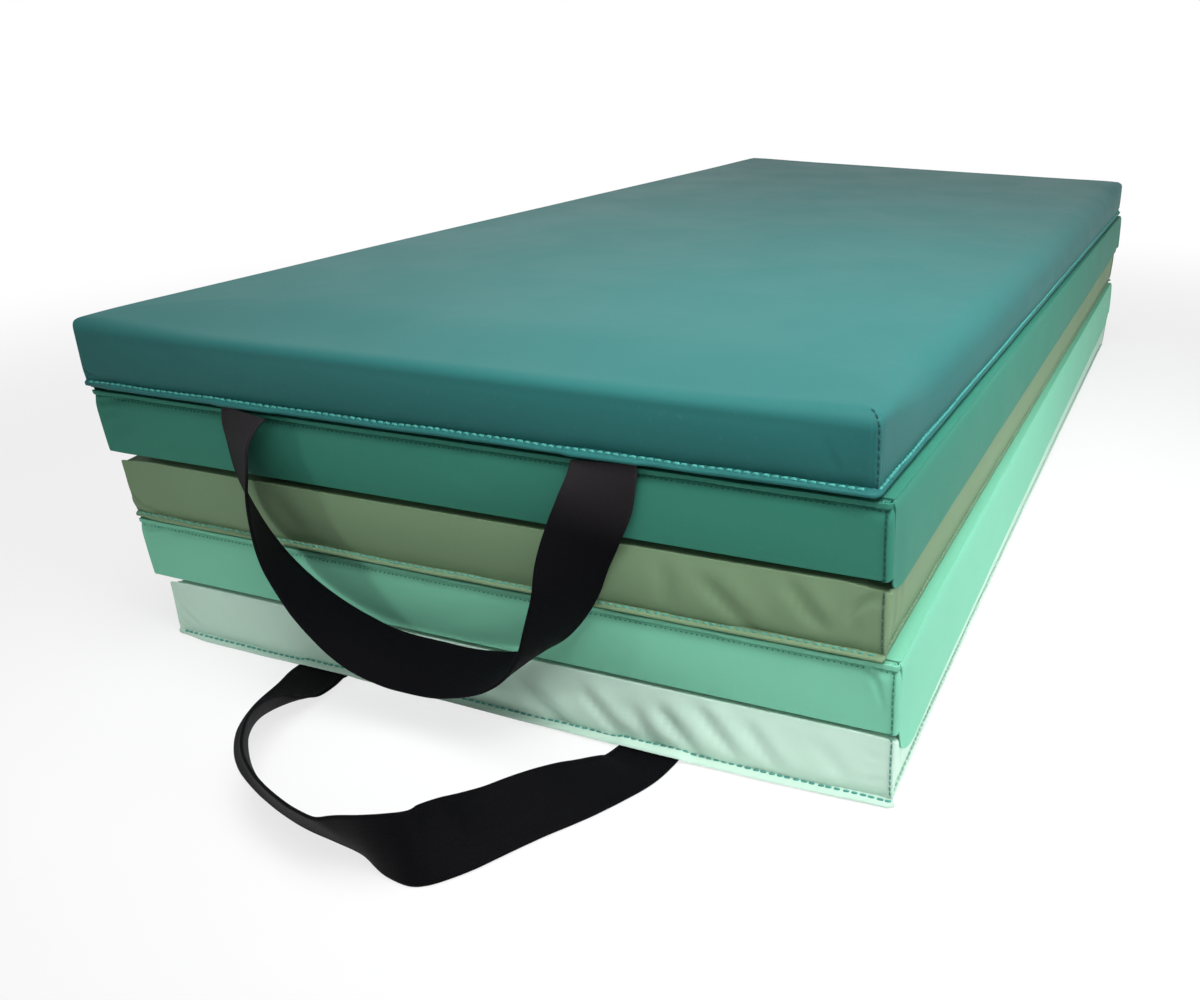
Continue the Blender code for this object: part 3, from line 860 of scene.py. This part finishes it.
def stitch_row(path, normals, length_mm, gap_mm, thread_mm, seed, sink=0.55):
    """Points and faces of a row of stitches laid along a path on a surface."""
    run = length_along(path)
    pitch = (length_mm + gap_mm) * MM
    count = int(run[-1] / pitch)
    if count < 1:
        return np.zeros((0, 3)), []
    random = np.random.default_rng(seed)
    middles = (np.arange(count) + 0.5) * pitch + random.uniform(-0.08, 0.08, count) * pitch
    reach = length_mm * MM / 2 * random.uniform(0.93, 1.05, count)
    radius = thread_mm * MM / 2
    rings = []
    for along, thick, lift in STITCH_SHAPE:
        where = np.clip(middles + along * reach, 0, run[-1])
        ahead, behind = [
            points_at(np.clip(where + step, 0, run[-1]), run, path) for step in (0.0008, -0.0008)
        ]
        up = unit(points_at(where, run, normals))
        beside = np.cross(unit(ahead - behind), up)
        centre = points_at(where, run, path) + up * (radius * (lift + 1 - 2 * sink))
        for angle in np.arange(STITCH_SIDES) * 2 * math.pi / STITCH_SIDES:
            rings.append(centre + (up * math.cos(angle) + beside * math.sin(angle)) * radius * thick)
    points = np.stack(rings, axis=1)
    single = band_faces(len(STITCH_SHAPE), STITCH_SIDES, False, True)
    single += cap_faces(len(STITCH_SHAPE), STITCH_SIDES)
    faces = []
    for first in range(0, count * len(rings), len(rings)):
        faces += [[first + i for i in face] for face in single]
    return points.reshape(-1, 3), faces


def merge(parts):
    """Several (points, faces) in one."""
    points, faces = [], []
    first = 0
    for own_points, own_faces in parts:
        points.append(own_points)
        faces += [[first + i for i in face] for face in own_faces]
        first += len(own_points)
    return np.vstack(points), faces


def hem_stitches(panel):
    """Thread along the top of the hem, close to the wall: rows on the ends, and on the sides."""
    sections, normals = hem_sections(panel)
    runs, closed = split_runs(normals, panel)
    rows = {True: [], False: []}
    for order in runs:
        if closed:
            order = np.append(order, order[0])
        on_end = np.abs(normals[order, 1]) > 0.7
        breaks = np.flatnonzero(np.diff(on_end.astype(int))) + 1
        for part in np.split(np.arange(len(order)), breaks):
            if len(part) < 4:
                continue
            own = order[part]
            lean = np.column_stack([normals[own] * 0.45, np.full(len(own), 0.89)])
            seed = 101 + panel.number + len(rows[True]) + len(rows[False])
            size = STITCH_MM, STITCH_GAP_MM, THREAD_MM[panel.number]
            row = stitch_row(sections[own, HEM_THREAD_PLACE], lean, *size, seed)
            rows[not on_end[part[0]]].append(row)
    return merge(rows[False]), merge(rows[True])


def corner_stitches(panel):
    """Upright rows of thread beside the corners' ridges.

    They are in the end walls on the right of the laid mat, and in the side wall on its left.
    """
    left = 1 if panel.turned else -1
    radius = CORNER_RADIUS_MM[panel.number] * MM
    outline = Outline(panel)
    rings = np.array(cover_rings(panel, outline, 0.0)[0])
    stations = outline.ring()
    seam_x = left * (radius + SEAM_PLACE_MM[panel.number] * MM - panel.half_width)
    rows = []
    for end in (-1, 1):
        side_y = end * (panel.half_length - radius - SIDE_WALL_PLACE)
        at_end = np.where(outline.normal[:, 1] * end > 0.7, np.abs(stations[:, 0] - seam_x), 1.0)
        at_side = np.where(outline.normal[:, 0] * left > 0.7, np.abs(stations[:, 1] - side_y), 1.0)
        for away, (top, size), seed in (
            (at_end, END_WALL_ROW, 111 + end), (at_side, SIDE_WALL_ROW, 121 + end)
        ):
            station = int(away.argmin())
            line = rings[CORNER_ROW_START:top, station]
            tilt = np.clip((np.arange(CORNER_ROW_START, top) - WALL_STEPS) / 16, 0.0, 0.6)
            ups = np.column_stack([np.outer(1 - tilt, outline.normal[station]), tilt])
            rows.append(stitch_row(line, ups, *size, seed, sink=0.4))
    return merge(rows)


def needle_dots(panel):
    """Rows of small needle marks in the end walls, close under the seam."""
    outline = Outline(panel, fine=0.002, coarse_end=0.003, coarse_side=0.004, corner_steps=6)
    height = np.full(outline.count, NEEDLE_HEIGHT)
    edge_start = np.full(outline.count, panel.height - 0.008)
    out = wall_shape(panel, outline, height, edge_start)
    xy = outline.ring() + outline.normal * (out * MM)[:, None]
    normals = np.column_stack([outline.normal, np.zeros(outline.count)])
    rows = []
    for end in (-1, 1):
        order = np.flatnonzero(outline.normal[:, 1] * end > 0.999)
        path = np.column_stack([xy[order], height[order]])
        rows.append(stitch_row(path, normals[order], *NEEDLE_MARKS, 121 + panel.number, sink=0.66))
    return merge(rows)


def make_threads(panel, threads):
    number = panel.number
    rows = [("corner_thread", corner_stitches(panel), CORNER_THREADS)]
    if panel.turned:
        rows.append(("needle_marks", needle_dots(panel), CORNER_THREADS))
    else:
        on_ends, on_sides = hem_stitches(panel)
        rows.append(("hem_thread", on_ends, HEM_THREADS))
        rows.append(("side_hem_thread", on_sides, SIDE_THREADS))
    for name, (points, faces), names in rows:
        finish = threads[names[number]]
        piece = mesh_piece(f"panel_{number}_{name}", panel.place(points), faces, finish)
        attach(piece, f"panel_{number}")


# Fold strips

def make_strip(upper, side, panels, finish):
    """Cloth of the upper panel's side wall that laps over the fold line onto the panel below."""
    above, below = panels[upper], panels[upper + 1]
    lower = upper + 1
    wall = above.middle.x + side * above.half_width
    fold = above.floor - 0.00015
    half_length = above.half_length - STRIP_END_GAP
    places = np.linspace(-half_length, half_length, 300)
    rise = np.full_like(places, STRIP_RISE[side])
    near, far, round_length = [value * MM for value in LAPS_MM[upper]]
    from_end = np.clip(1 - (half_length - np.abs(places)) / round_length, 0, 1)
    lap = near + (far - near) * (places + half_length) / (2 * half_length)
    lap = lap * np.sqrt(1 - from_end ** 2) + SMALLEST_LAP_MM * MM
    lap += 0.0004 * wander(places, 0.11, 131 + upper) + 0.0003 * wander(places, 0.03, 141)
    near_end = 1 - smoothstep((half_length - np.abs(places)) / 0.024)
    columns = []
    for face, rows in ((1, STRIP_SHAPE), (-1, STRIP_SHAPE[::-1])):
        for share, out in rows:
            z = fold + share * (rise if share > 0 else lap)
            uneven = 0.12 * waves(places, np.full_like(places, share * 0.04), 0.05, 0.02, 151 + upper)
            flush = out - near_end * max(out - 0.45, 0.0) * (1.0 if share > -0.2 else 0.85)
            x = wall + side * (flush + face * STRIP_THICKNESS_MM / 2 + uneven) * MM
            if side > 0:
                lean = smoothstep(0.5 + share)
                x = x - above.narrowing(places) * lean - below.narrowing(places) * (1 - lean)
            columns.append(np.column_stack([x, places + above.middle.y, z]))
    points = np.stack(columns, axis=1)
    faces = band_faces(*points.shape[:2], False, True) + cap_faces(*points.shape[:2])
    if side < 0:
        faces = turned_over(faces)
    piece = mesh_piece(f"fold_{upper}_{lower}_cloth", points.reshape(-1, 3), faces, finish, 50)
    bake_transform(piece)
    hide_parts(f"hinge_{upper}_{lower}_flap_{upper}", f"hinge_{upper}_{lower}_flap_{lower}")


# Carry handles

# Place across as a share of half the spacing, place down as a share of the drop, which way the
# web's front edge points (0 is right, 90 is forward), and how far that edge rises
HANGING_ROUTE = (
    (-1.00, 0.00, 4, 0),
    (-1.005, 0.03, 12, 2),
    (-1.01, 0.065, 18, 5),
    (-1.013, 0.125, 25, 9),
    (-1.015, 0.255, 32, 15),
    (-0.985, 0.38, 43, 19),
    (-0.925, 0.515, 55, 18),
    (-0.84, 0.635, 66, 16),
    (-0.72, 0.745, 75, 11),
    (-0.595, 0.835, 84, 4),
    (-0.46, 0.91, 90, -5),
    (-0.325, 0.965, 93, -13),
    (-0.165, 0.995, 94, -20),
    (0.00, 1.00, 93, -22),
    (0.145, 0.995, 90, -19),
    (0.295, 0.97, 88, -13),
    (0.445, 0.93, 87, -6),
    (0.585, 0.86, 90, 2),
    (0.695, 0.765, 98, 11),
    (0.775, 0.64, 112, 16),
    (0.84, 0.51, 124, 17),
    (0.875, 0.38, 138, 16),
    (0.925, 0.25, 155, 12),
    (0.98, 0.12, 170, 6),
    (1.00, 0.03, 178, 1),
    (1.00, 0.00, 180, 0),
)

# Place across as a share of half the whole width, place forward as a share of the reach, and how
# far the web leans up from the floor
LYING_ROUTE = (
    (-1.00, 0.00, 0),
    (-1.00, 0.04, 1),
    (-0.965, 0.185, 3),
    (-0.93, 0.34, 11),
    (-0.855, 0.50, 26),
    (-0.75, 0.62, 46),
    (-0.625, 0.715, 65),
    (-0.49, 0.78, 83),
    (-0.355, 0.83, 98),
    (-0.22, 0.87, 107),
    (-0.08, 0.90, 113),
    (0.065, 0.915, 118),
    (0.21, 0.935, 116),
    (0.35, 0.99, 94),
    (0.49, 1.00, 69),
    (0.60, 0.89, 49),
    (0.68, 0.755, 32),
    (0.755, 0.62, 27),
    (0.83, 0.50, 22),
    (0.91, 0.355, 12),
    (0.975, 0.20, 3),
    (1.00, 0.04, 0),
    (1.00, 0.00, 0),
)
HANDLE_REACH = 0.156
HANDLE_FLOOR_GAP = 0.043
SEAM_STAND_OFF = 0.0049  # of a web's back face from the panels' ends
FLOOR_GAP = 0.0002
STRAIGHT_END = 0.034  # of the lower web, where it comes out of the seam
# The web's section: place across and thickness, as shares of their halves, thicker at the selvages
WEB_SECTION = (
    (-1.0, 0.35), (-0.985, 0.8), (-0.94, 1.05), (-0.88, 1.08), (-0.8, 0.9), (-0.6, 0.85),
    (-0.3, 0.85), (0.0, 0.85), (0.3, 0.85), (0.6, 0.85), (0.8, 0.9), (0.88, 1.08),
    (0.94, 1.05), (0.985, 0.8), (1.0, 0.35),
)


def curve_through(values, steps=4):
    """A smooth curve through rows of numbers, with steps points from one to the next."""
    rows = np.array(values, float)
    padded = np.vstack([2 * rows[0] - rows[1], rows, 2 * rows[-1] - rows[-2]])
    curve = []
    for a, b, c, d in zip(padded, padded[1:], padded[2:], padded[3:]):
        for t in np.arange(steps) / steps:
            square, cube = 2 * a - 5 * b + 4 * c - d, 3 * b - a - 3 * c + d
            curve.append(0.5 * (2 * b + (c - a) * t + square * t * t + cube * t**3))
    return np.vstack([*curve, rows[-1]])


def web_directions(centres, widths):
    """Along the web, across it, and out of its flat side, at every centre."""
    along = headings(centres)
    across = unit(widths - along * np.sum(widths * along, axis=1)[:, None])
    return along, across, np.cross(along, across)


def settle(centres, widths, axis, plane, side):
    """Moves the centres along one axis until their sections touch a plane."""
    for _ in range(60):
        _, across, normal = web_directions(centres, widths)
        reach = np.abs(across[:, axis]) * WEB_WIDTH + np.abs(normal[:, axis]) * WEB_THICKNESS
        centres[:, axis] = (plane + side * reach / 2 + centres[:, axis]) / 2


def hanging_web(panel):
    """Centres and width directions of the upper handle, which hangs from panel 1's seam."""
    middle = WEB_MIDDLES[1]
    seam = panel.floor
    drop = seam - HANDLE_FLOOR_GAP
    across, down, yaw, rise = curve_through(HANGING_ROUTE).T
    yaw, rise = np.radians(yaw), np.radians(rise)
    widths = np.column_stack([np.cos(yaw), -np.sin(yaw), np.tan(rise)])
    plane = panel.middle.y - panel.half_length - SEAM_STAND_OFF
    centres = np.column_stack([
        middle + across * HANDLE_SPACING / 2, np.full_like(across, plane), seam - down * drop
    ])
    settle(centres, widths, 1, plane, -1)
    centres, widths = [curve_through(rows) for rows in (centres, widths)]
    tuck = bump_shape(seam - centres[:, Z], 0.007)
    centres[:, 1] += 0.0021 * tuck
    centres[:, Z] += 0.0012 * tuck
    return centres, widths


def lying_web(panel):
    """Centres and width directions of the lower handle, whose outer edge lies on the floor."""
    middle = WEB_MIDDLES[5]
    half_span = (HANDLE_SPACING + WEB_WIDTH) / 2
    plane = panel.middle.y - panel.half_length - SEAM_STAND_OFF
    across, forward, lean = curve_through(LYING_ROUTE).T
    edge = np.column_stack([
        middle + across * half_span, plane - forward * HANDLE_REACH, np.zeros_like(across)
    ])
    along = headings(edge)
    lean = np.radians(lean)
    run = length_along(edge)
    turn = np.unwrap(np.arctan2(along[:, 0], -along[:, 1])) * smoothstep(run / STRAIGHT_END)
    turn = math.pi - (math.pi - turn) * smoothstep((run[-1] - run) / STRAIGHT_END)
    inward = np.column_stack([np.cos(turn), np.sin(turn), np.zeros(len(edge))])
    widths = inward * np.cos(lean)[:, None]
    widths[:, Z] += np.sin(lean)
    centres = edge + widths * WEB_WIDTH / 2
    settle(centres, widths, Z, FLOOR_GAP, 1)
    centres, widths = [curve_through(rows) for rows in (centres, widths)]
    first, last = centres[0] + (0, 0.004, 0), centres[-1] + (0, 0.004, 0)
    return np.vstack([first, centres, last]), np.vstack([widths[:1], widths, widths[-1:]])


def make_web(panel, handle, centres, widths, finish):
    """Woven webbing swept along its centres, with thicker selvages and a slight hollow.
    """
    _, across, normal = web_directions(centres, widths)
    run = length_along(centres)
    half_width, half_thick = WEB_WIDTH / 2, WEB_THICKNESS / 2
    edge_wave = 0.00018 * wander(run, 0.012, 161)
    rows, uvs = [], []
    for face, section in ((1, WEB_SECTION), (-1, WEB_SECTION[::-1])):
        for share, thick in section:
            reach = share * (half_width - 0.0002) + edge_wave * share
            rows.append(centres + across * reach[:, None] + normal * (face * thick * half_thick))
            uvs.append(np.column_stack([run, np.full_like(run, share * half_width)]))
    points = np.stack(rows, axis=1)
    uv_points = np.stack(uvs, axis=1).reshape(-1, 2)
    count, size = points.shape[:2]
    faces = turned_over(band_faces(count, size, False, True) + cap_faces(count, size))
    name = f"carry_handle_{handle}_web"
    piece = mesh_piece(name, points.reshape(-1, 3), faces, finish, 60)
    corner_points = np.zeros(len(piece.data.loops), np.int32)
    piece.data.loops.foreach_get("vertex_index", corner_points)
    # Distance to the nearer sewn end, which places the painted sheen. The lower web starts at 1 m, so it
    # gets none.
    from_end = np.minimum(run, run[-1] - run) + (0.0 if panel.number == 1 else 1.0)
    end_points = np.column_stack([np.repeat(from_end, size), np.zeros(count * size)])
    for layer_name, values in (("weave", uv_points), ("ends", end_points)):
        layer = piece.data.uv_layers.new(name=layer_name)
        layer.data.foreach_set("uv", values[corner_points].astype(np.float32).ravel())
    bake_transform(piece)
    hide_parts(f"carry_handle_{handle}")


# Finishes

def set_sockets(tree, node, values):
    """Gives a node's sockets plain values, or links other sockets to them."""
    for name, value in values.items():
        if isinstance(value, bpy.types.NodeSocket):
            tree.links.new(value, node.inputs[name])
        else:
            node.inputs[name].default_value = value


def add_node(tree, kind, values, **settings):
    """A new shader node with its settings made and its sockets filled."""
    node = tree.nodes.new(f"ShaderNode{kind}")
    for name, value in settings.items():
        setattr(node, name, value)
    set_sockets(tree, node, values)
    return node


def new_group(name, inputs, outputs):
    """An empty shader node group, the sockets that it is given, and the ones that it fills."""
    tree = bpy.data.node_groups.new(name, "ShaderNodeTree")
    kinds = {"Place": "NodeSocketVector", "Colour": "NodeSocketColor"}
    for way, values in (("INPUT", inputs), ("OUTPUT", dict.fromkeys(outputs))):
        for socket_name, value in values.items():
            kind = kinds.get(socket_name, "NodeSocketFloat")
            socket = tree.interface.new_socket(socket_name, in_out=way, socket_type=kind)
            if value is not None:
                socket.default_value = value
    start = tree.nodes.new("NodeGroupInput")
    end = tree.nodes.new("NodeGroupOutput")
    return tree, start.outputs, end


def noise(tree, place, scale, detail, roughness=0.5):
    values = {"Vector": place, "Scale": scale, "Detail": detail, "Roughness": roughness}
    return add_node(tree, "TexNoise", values).outputs["Fac"]


def calculate(tree, operation, first, second=0.0):
    return add_node(tree, "Math", {0: first, 1: second}, operation=operation).outputs[0]


def spread(tree, value, low, high, new_low, new_high):
    """Maps a value's range to a new one, smoothly and clamped."""
    values = {
        "Value": value, "From Min": low, "From Max": high, "To Min": new_low, "To Max": new_high,
    }
    return add_node(tree, "MapRange", values, interpolation_type="SMOOTHSTEP").outputs["Result"]


def mix_colours(tree, factor, first, second, kind="MIX"):
    node = add_node(tree, "Mix", {"Factor": factor}, data_type="RGBA", blend_type=kind)
    places = [k for k, socket in enumerate(node.inputs) if socket.type == "RGBA"]
    set_sockets(tree, node, dict(zip(places, (first, second))))
    return next(socket for socket in node.outputs if socket.type == "RGBA")


def multiply_add(tree, layers):
    """The sum of values, each times its own share."""
    total, *others = [calculate(tree, "MULTIPLY", value, share) for value, share in layers]
    for other in others:
        total = calculate(tree, "ADD", total, other)
    return total


def grain_group():
    """Fine leather-like grain over the faint threads of the cloth behind the vinyl."""
    tree, given, end = new_group("vinyl_grain", {"Place": None, "Grain Size": 900.0}, ["Height"])
    place = given["Place"]
    values = {"Smoothness": 0.6, "Vector": place, "Scale": given["Grain Size"]}
    cells = add_node(tree, "TexVoronoi", values, feature="SMOOTH_F1")
    height = multiply_add(tree, (
        (cells.outputs["Distance"], 0.8),
        (noise(tree, place, 1600.0, 2.0), 0.35),
        (noise(tree, place, 160.0, 3.0), 0.8),
    ))
    set_sockets(tree, end, {"Height": height})
    return tree


def tone_group():
    """Slight patches of lighter and darker colour, and how matte each patch is."""
    inputs = {"Place": None, "Colour": GROUP_COLOUR, "Patches": 0.12, "Roughness": 0.4}
    tree, given, end = new_group("vinyl_tone", inputs, ["Colour", "Roughness"])
    cloudy = spread(tree, noise(tree, given["Place"], 5.0, 3.0), 0.3, 0.7, -0.5, 0.5)
    amount = calculate(tree, "MULTIPLY", cloudy, given["Patches"])
    brightness = calculate(tree, "ADD", amount, 1.0)
    channels = dict.fromkeys(("Red", "Green", "Blue"), brightness)
    scale = add_node(tree, "CombineColor", channels)
    toned = mix_colours(tree, 1.0, given["Colour"], scale.outputs["Color"], "MULTIPLY")
    matte = spread(tree, noise(tree, given["Place"], 11.0, 4.0, 0.6), 0.3, 0.7, -0.02, 0.025)
    roughness = calculate(tree, "ADD", matte, given["Roughness"])
    set_sockets(tree, end, {"Colour": toned, "Roughness": roughness})
    return tree


def dust_group():
    """A trace of pale dust and worn spots."""
    inputs = {"Place": None, "Colour": GROUP_COLOUR, "Amount": 0.04}
    tree, given, end = new_group("light_dust", inputs, ["Colour"])
    spots = spread(tree, noise(tree, given["Place"], 260.0, 3.0, 0.7), 0.58, 0.75, 0.0, 1.0)
    areas = spread(tree, noise(tree, given["Place"], 9.0, 2.0), 0.4, 0.65, 0.25, 1.0)
    dust = calculate(tree, "MULTIPLY", calculate(tree, "MULTIPLY", spots, areas), given["Amount"])
    dusty = mix_colours(tree, dust, given["Colour"], (0.62, 0.64, 0.60, 1.0))
    set_sockets(tree, end, {"Colour": dusty})
    return tree


def weave_group():
    """Ribs of a woven web along its length, with the crossing threads between them, and a painted
    highlight on their raised crests.
    """
    inputs = {"Place": None, "Colour": (0.01, 0.01, 0.012, 1.0)}
    tree, given, end = new_group("web_weave", inputs, ["Height", "Colour"])
    split = add_node(tree, "SeparateXYZ", {0: given["Place"]}).outputs
    rib = calculate(tree, "SINE", calculate(tree, "MULTIPLY", split["Y"], 2 * math.pi / RIB_PITCH))
    phase = calculate(tree, "MULTIPLY", calculate(tree, "SIGN", rib), math.pi / 2)
    along = calculate(tree, "MULTIPLY", split["X"], 2 * math.pi / THREAD_PITCH)
    thread = calculate(tree, "SINE", calculate(tree, "ADD", along, phase))
    height = multiply_add(tree, ((calculate(tree, "ABSOLUTE", rib), 0.6), (thread, 0.4)))
    # Painted highlight: the web's colour is up to 2.4 times paler where the ribs and threads are raised.
    lit = spread(tree, height, -0.2, 0.9, 0.0, 1.0)
    painted_rib_highlight = mix_colours(tree, 1.0, given["Colour"], (2.4, 2.3, 2.4, 1.0), "MULTIPLY")
    woven = mix_colours(tree, lit, given["Colour"], painted_rib_highlight)
    set_sockets(tree, end, {"Height": height, "Colour": woven})
    return tree


def twist_group():
    """The twist of sewing thread, as bands that bump it, with painted shade darkening their low parts.
    """
    inputs = {"Place": None, "Colour": GROUP_COLOUR}
    tree, given, end = new_group("thread_twist", inputs, ["Height", "Colour"])
    values = {"Scale": 420.0, "Distortion": 1.0, "Vector": given["Place"]}
    bands = add_node(tree, "TexWave", values, bands_direction="DIAGONAL").outputs["Fac"]
    # Painted shade: the thread is 0.7 times as bright where the twist's bands are low.
    darker = mix_colours(tree, 1.0, given["Colour"], (0.7, 0.7, 0.72, 1.0), "MULTIPLY")
    twist_with_painted_shade = mix_colours(tree, bands, darker, given["Colour"])
    set_sockets(tree, end, {"Height": bands, "Colour": twist_with_painted_shade})
    return tree


def place_group(tree, group, place, values):
    """The outputs of a group placed in a material with its own values."""
    return add_node(tree, "Group", {"Place": place, **values}, node_tree=group).outputs


def new_finish(name):
    """A material, its nodes, its shader, and places on the piece that it is on."""
    finish = bpy.data.materials.new(name)
    finish.use_nodes = True
    tree = finish.node_tree
    return finish, tree, tree.nodes["Principled BSDF"], add_node(tree, "TexCoord", {}).outputs["Object"]


def add_bump(tree, shader, height, strength, distance):
    bump = add_node(tree, "Bump", {"Strength": strength, "Distance": distance, "Height": height})
    set_sockets(tree, shader, {"Normal": bump.outputs["Normal"]})


def vinyl(name, colour, gloss, groups):
    """Satin vinyl-coated cloth."""
    finish, tree, shader, place = new_finish(name)
    values = {"Colour": (*colour, 1.0), "Patches": 0.04, "Roughness": 0.52}
    tone = place_group(tree, groups["tone"], place, values)
    dust = place_group(tree, groups["dust"], place, {"Amount": 0.03, "Colour": tone["Colour"]})
    grain = place_group(tree, groups["grain"], place, {"Grain Size": 850.0})
    set_sockets(tree, shader, {
        "Base Color": dust["Colour"], "Roughness": tone["Roughness"], "Specular IOR Level": gloss,
    })
    add_bump(tree, shader, grain["Height"], 0.30, 0.00016)
    finish.diffuse_color = (*colour, 1.0)
    return finish


def webbing(groups):
    """Black woven polypropylene web, with a painted grey sheen next to the upper web's sewn ends."""
    finish, tree, shader, _ = new_finish("black_webbing")
    layout, from_end = [
        add_node(tree, "UVMap", {}, uv_map=name).outputs["UV"] for name in ("weave", "ends")
    ]
    # The weave's colour carries a painted highlight on the raised ribs.
    weave = place_group(tree, groups["weave"], layout, {"Colour": (0.0013, 0.0013, 0.0017, 1.0)})
    split = add_node(tree, "SeparateXYZ", {0: from_end})
    # Painted sheen: the web turns grey over its first 5 cm from each sewn end of the upper handle, most
    # of it within 1 cm.
    painted_sheen = spread(tree, split.outputs["X"], 0.010, 0.052, 0.85, 0.0)
    set_sockets(tree, shader, {
        "Base Color": mix_colours(tree, painted_sheen, weave["Colour"], (0.021, 0.019, 0.0205, 1.0)),
        "Roughness": 0.62,
        "Specular IOR Level": 0.035,
        "Sheen Weight": 0.008,
        "Sheen Roughness": 0.4,
    })
    add_bump(tree, shader, weave["Height"], 0.5, 0.00035)
    return finish


def sewing_thread(name, colour, groups):
    finish, tree, shader, place = new_finish(name)
    # The twist's colour carries painted shade in its grooves.
    twist = place_group(tree, groups["twist"], place, {"Colour": (*colour, 1.0)})
    set_sockets(tree, shader, {
        "Base Color": twist["Colour"],
        "Roughness": 0.6,
        "Specular IOR Level": 0.15,
        "Sheen Weight": 0.05,
    })
    add_bump(tree, shader, twist["Height"], 0.4, 0.0001)
    return finish


def foam_finish(groups):
    finish, tree, shader, place = new_finish("pale_foam")
    values = {"Colour": (0.80, 0.79, 0.74, 1.0), "Patches": 0.08, "Roughness": 0.9}
    tone = place_group(tree, groups["tone"], place, values)
    grain = place_group(tree, groups["grain"], place, {"Grain Size": 500.0})
    set_sockets(tree, shader, {"Base Color": tone["Colour"], "Roughness": tone["Roughness"]})
    add_bump(tree, shader, grain["Height"], 0.6, 0.0006)
    return finish


# Studio

def seen_rays(tree):
    """1 where the camera sees a thing straight, in gloss or through glass."""
    rays = add_node(tree, "LightPath", {}).outputs
    seen = calculate(tree, "MAXIMUM", rays["Is Camera Ray"], rays["Is Glossy Ray"])
    return calculate(tree, "MAXIMUM", seen, rays["Is Transmission Ray"])


def make_floor():
    """A pale floor that fades into a white room and keeps the mat's shadow."""
    count, reach = 9, 14
    steps = np.linspace(-1, 1, count) * reach
    grid_x, grid_y = np.meshgrid(steps, steps)
    points = np.column_stack([grid_x.ravel(), grid_y.ravel(), np.zeros(count * count)])
    finish, tree, shader, place = new_finish("pale_floor")
    set_sockets(tree, shader, {
        "Base Color": (0.90, 0.90, 0.90, 1.0), "Roughness": 0.7, "Specular IOR Level": 0.1,
    })
    glow = add_node(tree, "Emission", {"Color": (1, 1, 1, 1), "Strength": 1.0})
    length = add_node(tree, "VectorMath", {0: place}, operation="LENGTH")
    away = spread(tree, length.outputs["Value"], 0.7, 1.9, 0.74, 1.0)
    share = calculate(tree, "MULTIPLY", seen_rays(tree), away)
    mix = add_node(tree, "MixShader", {0: share, 1: shader.outputs[0], 2: glow.outputs[0]})
    set_sockets(tree, tree.nodes["Material Output"], {"Surface": mix.outputs[0]})
    floor = mesh_piece("studio_floor", points, band_faces(count, count, False, False), finish)


def make_lamp(name, place, target, size, power, spread_angle):
    lamp = bpy.data.lights.new(name, "AREA")
    lamp.shape = "DISK"
    lamp.size = size
    lamp.energy = power
    lamp.spread = math.radians(spread_angle)
    holder = bpy.data.objects.new(name, lamp)
    bpy.context.scene.collection.objects.link(holder)
    holder.location = place
    holder.visible_camera = False
    aim = Vector(target) - Vector(place)
    holder.rotation_euler = aim.to_track_quat("-Z", "Y").to_euler()


def make_room():
    """White surroundings: soft light all round, and plain white behind the mat."""
    world = bpy.data.worlds.new("white_room")
    bpy.context.scene.world = world
    world.use_nodes = True
    tree = world.node_tree
    light = tree.nodes["Background"]
    set_sockets(tree, light, {"Color": (1, 1, 1, 1), "Strength": ROOM_LIGHT})
    seen = add_node(tree, "Background", {"Color": (1, 1, 1, 1), "Strength": 1.0})
    mix = add_node(tree, "MixShader", {0: seen_rays(tree), 1: light.outputs[0], 2: seen.outputs[0]})
    set_sockets(tree, tree.nodes["World Output"], {"Surface": mix.outputs[0]})


def make_camera():
    """The photograph's viewpoint, low on the right of the handle end."""
    place = Vector((0.442413, -1.009174, 0.4142))
    azimuth, elevation, roll = [math.radians(value) for value in (-21.28, -24.79, -0.22)]
    forward = Vector((
        math.sin(azimuth) * math.cos(elevation),
        math.cos(azimuth) * math.cos(elevation),
        math.sin(elevation),
    ))
    right = forward.cross(Vector((0, 0, 1))).normalized()
    up = right.cross(forward)
    turned_right = right * math.cos(roll) + up * math.sin(roll)
    turned_up = up * math.cos(roll) - right * math.sin(roll)
    lens = bpy.data.cameras.new("photo_lens")
    lens.sensor_width = 36.0
    lens.lens = 31.14
    lens.shift_x = -0.1723
    lens.shift_y = 0.0332
    lens.clip_start = 0.01
    lens.clip_end = 100.0
    camera = bpy.data.objects.new("photo_camera", lens)
    bpy.context.scene.collection.objects.link(camera)
    axes = Matrix((turned_right, turned_up, -forward)).transposed()
    camera.matrix_world = Matrix.Translation(place) @ axes.to_4x4()
    bpy.context.scene.camera = camera


def main():
    groups = {
        "grain": grain_group(),
        "tone": tone_group(),
        "dust": dust_group(),
        "weave": weave_group(),
        "twist": twist_group(),
    }
    make_camera()
    panels = {number: Panel(number) for number in PANELS}
    web = webbing(groups)
    make_web(panels[1], "upper", *hanging_web(panels[1]), web)
    make_web(panels[5], "lower", *lying_web(panels[5]), web)
    covers = {
        number: vinyl(SLOTS[number], COLOURS[SLOTS[number]], GLOSS[number], groups)
        for number in PANELS
    }
    foam = foam_finish(groups)
    threads = {name: sewing_thread(name, colour, groups) for name, colour in THREAD_COLOURS.items()}
    for number, panel in panels.items():
        make_cover(panel, covers[number])
        make_foam(panel, foam)
        make_base(panel, covers[number])
        make_hem(panel, covers[number])
        make_threads(panel, threads)
    for upper, side in FOLDS:
        make_strip(upper, side, panels, covers[upper])
    make_floor()
    make_room()
    for name, lamp in LAMPS.items():
        make_lamp(name, *lamp)
    bpy.context.scene.view_settings.view_transform = "Standard"


main()
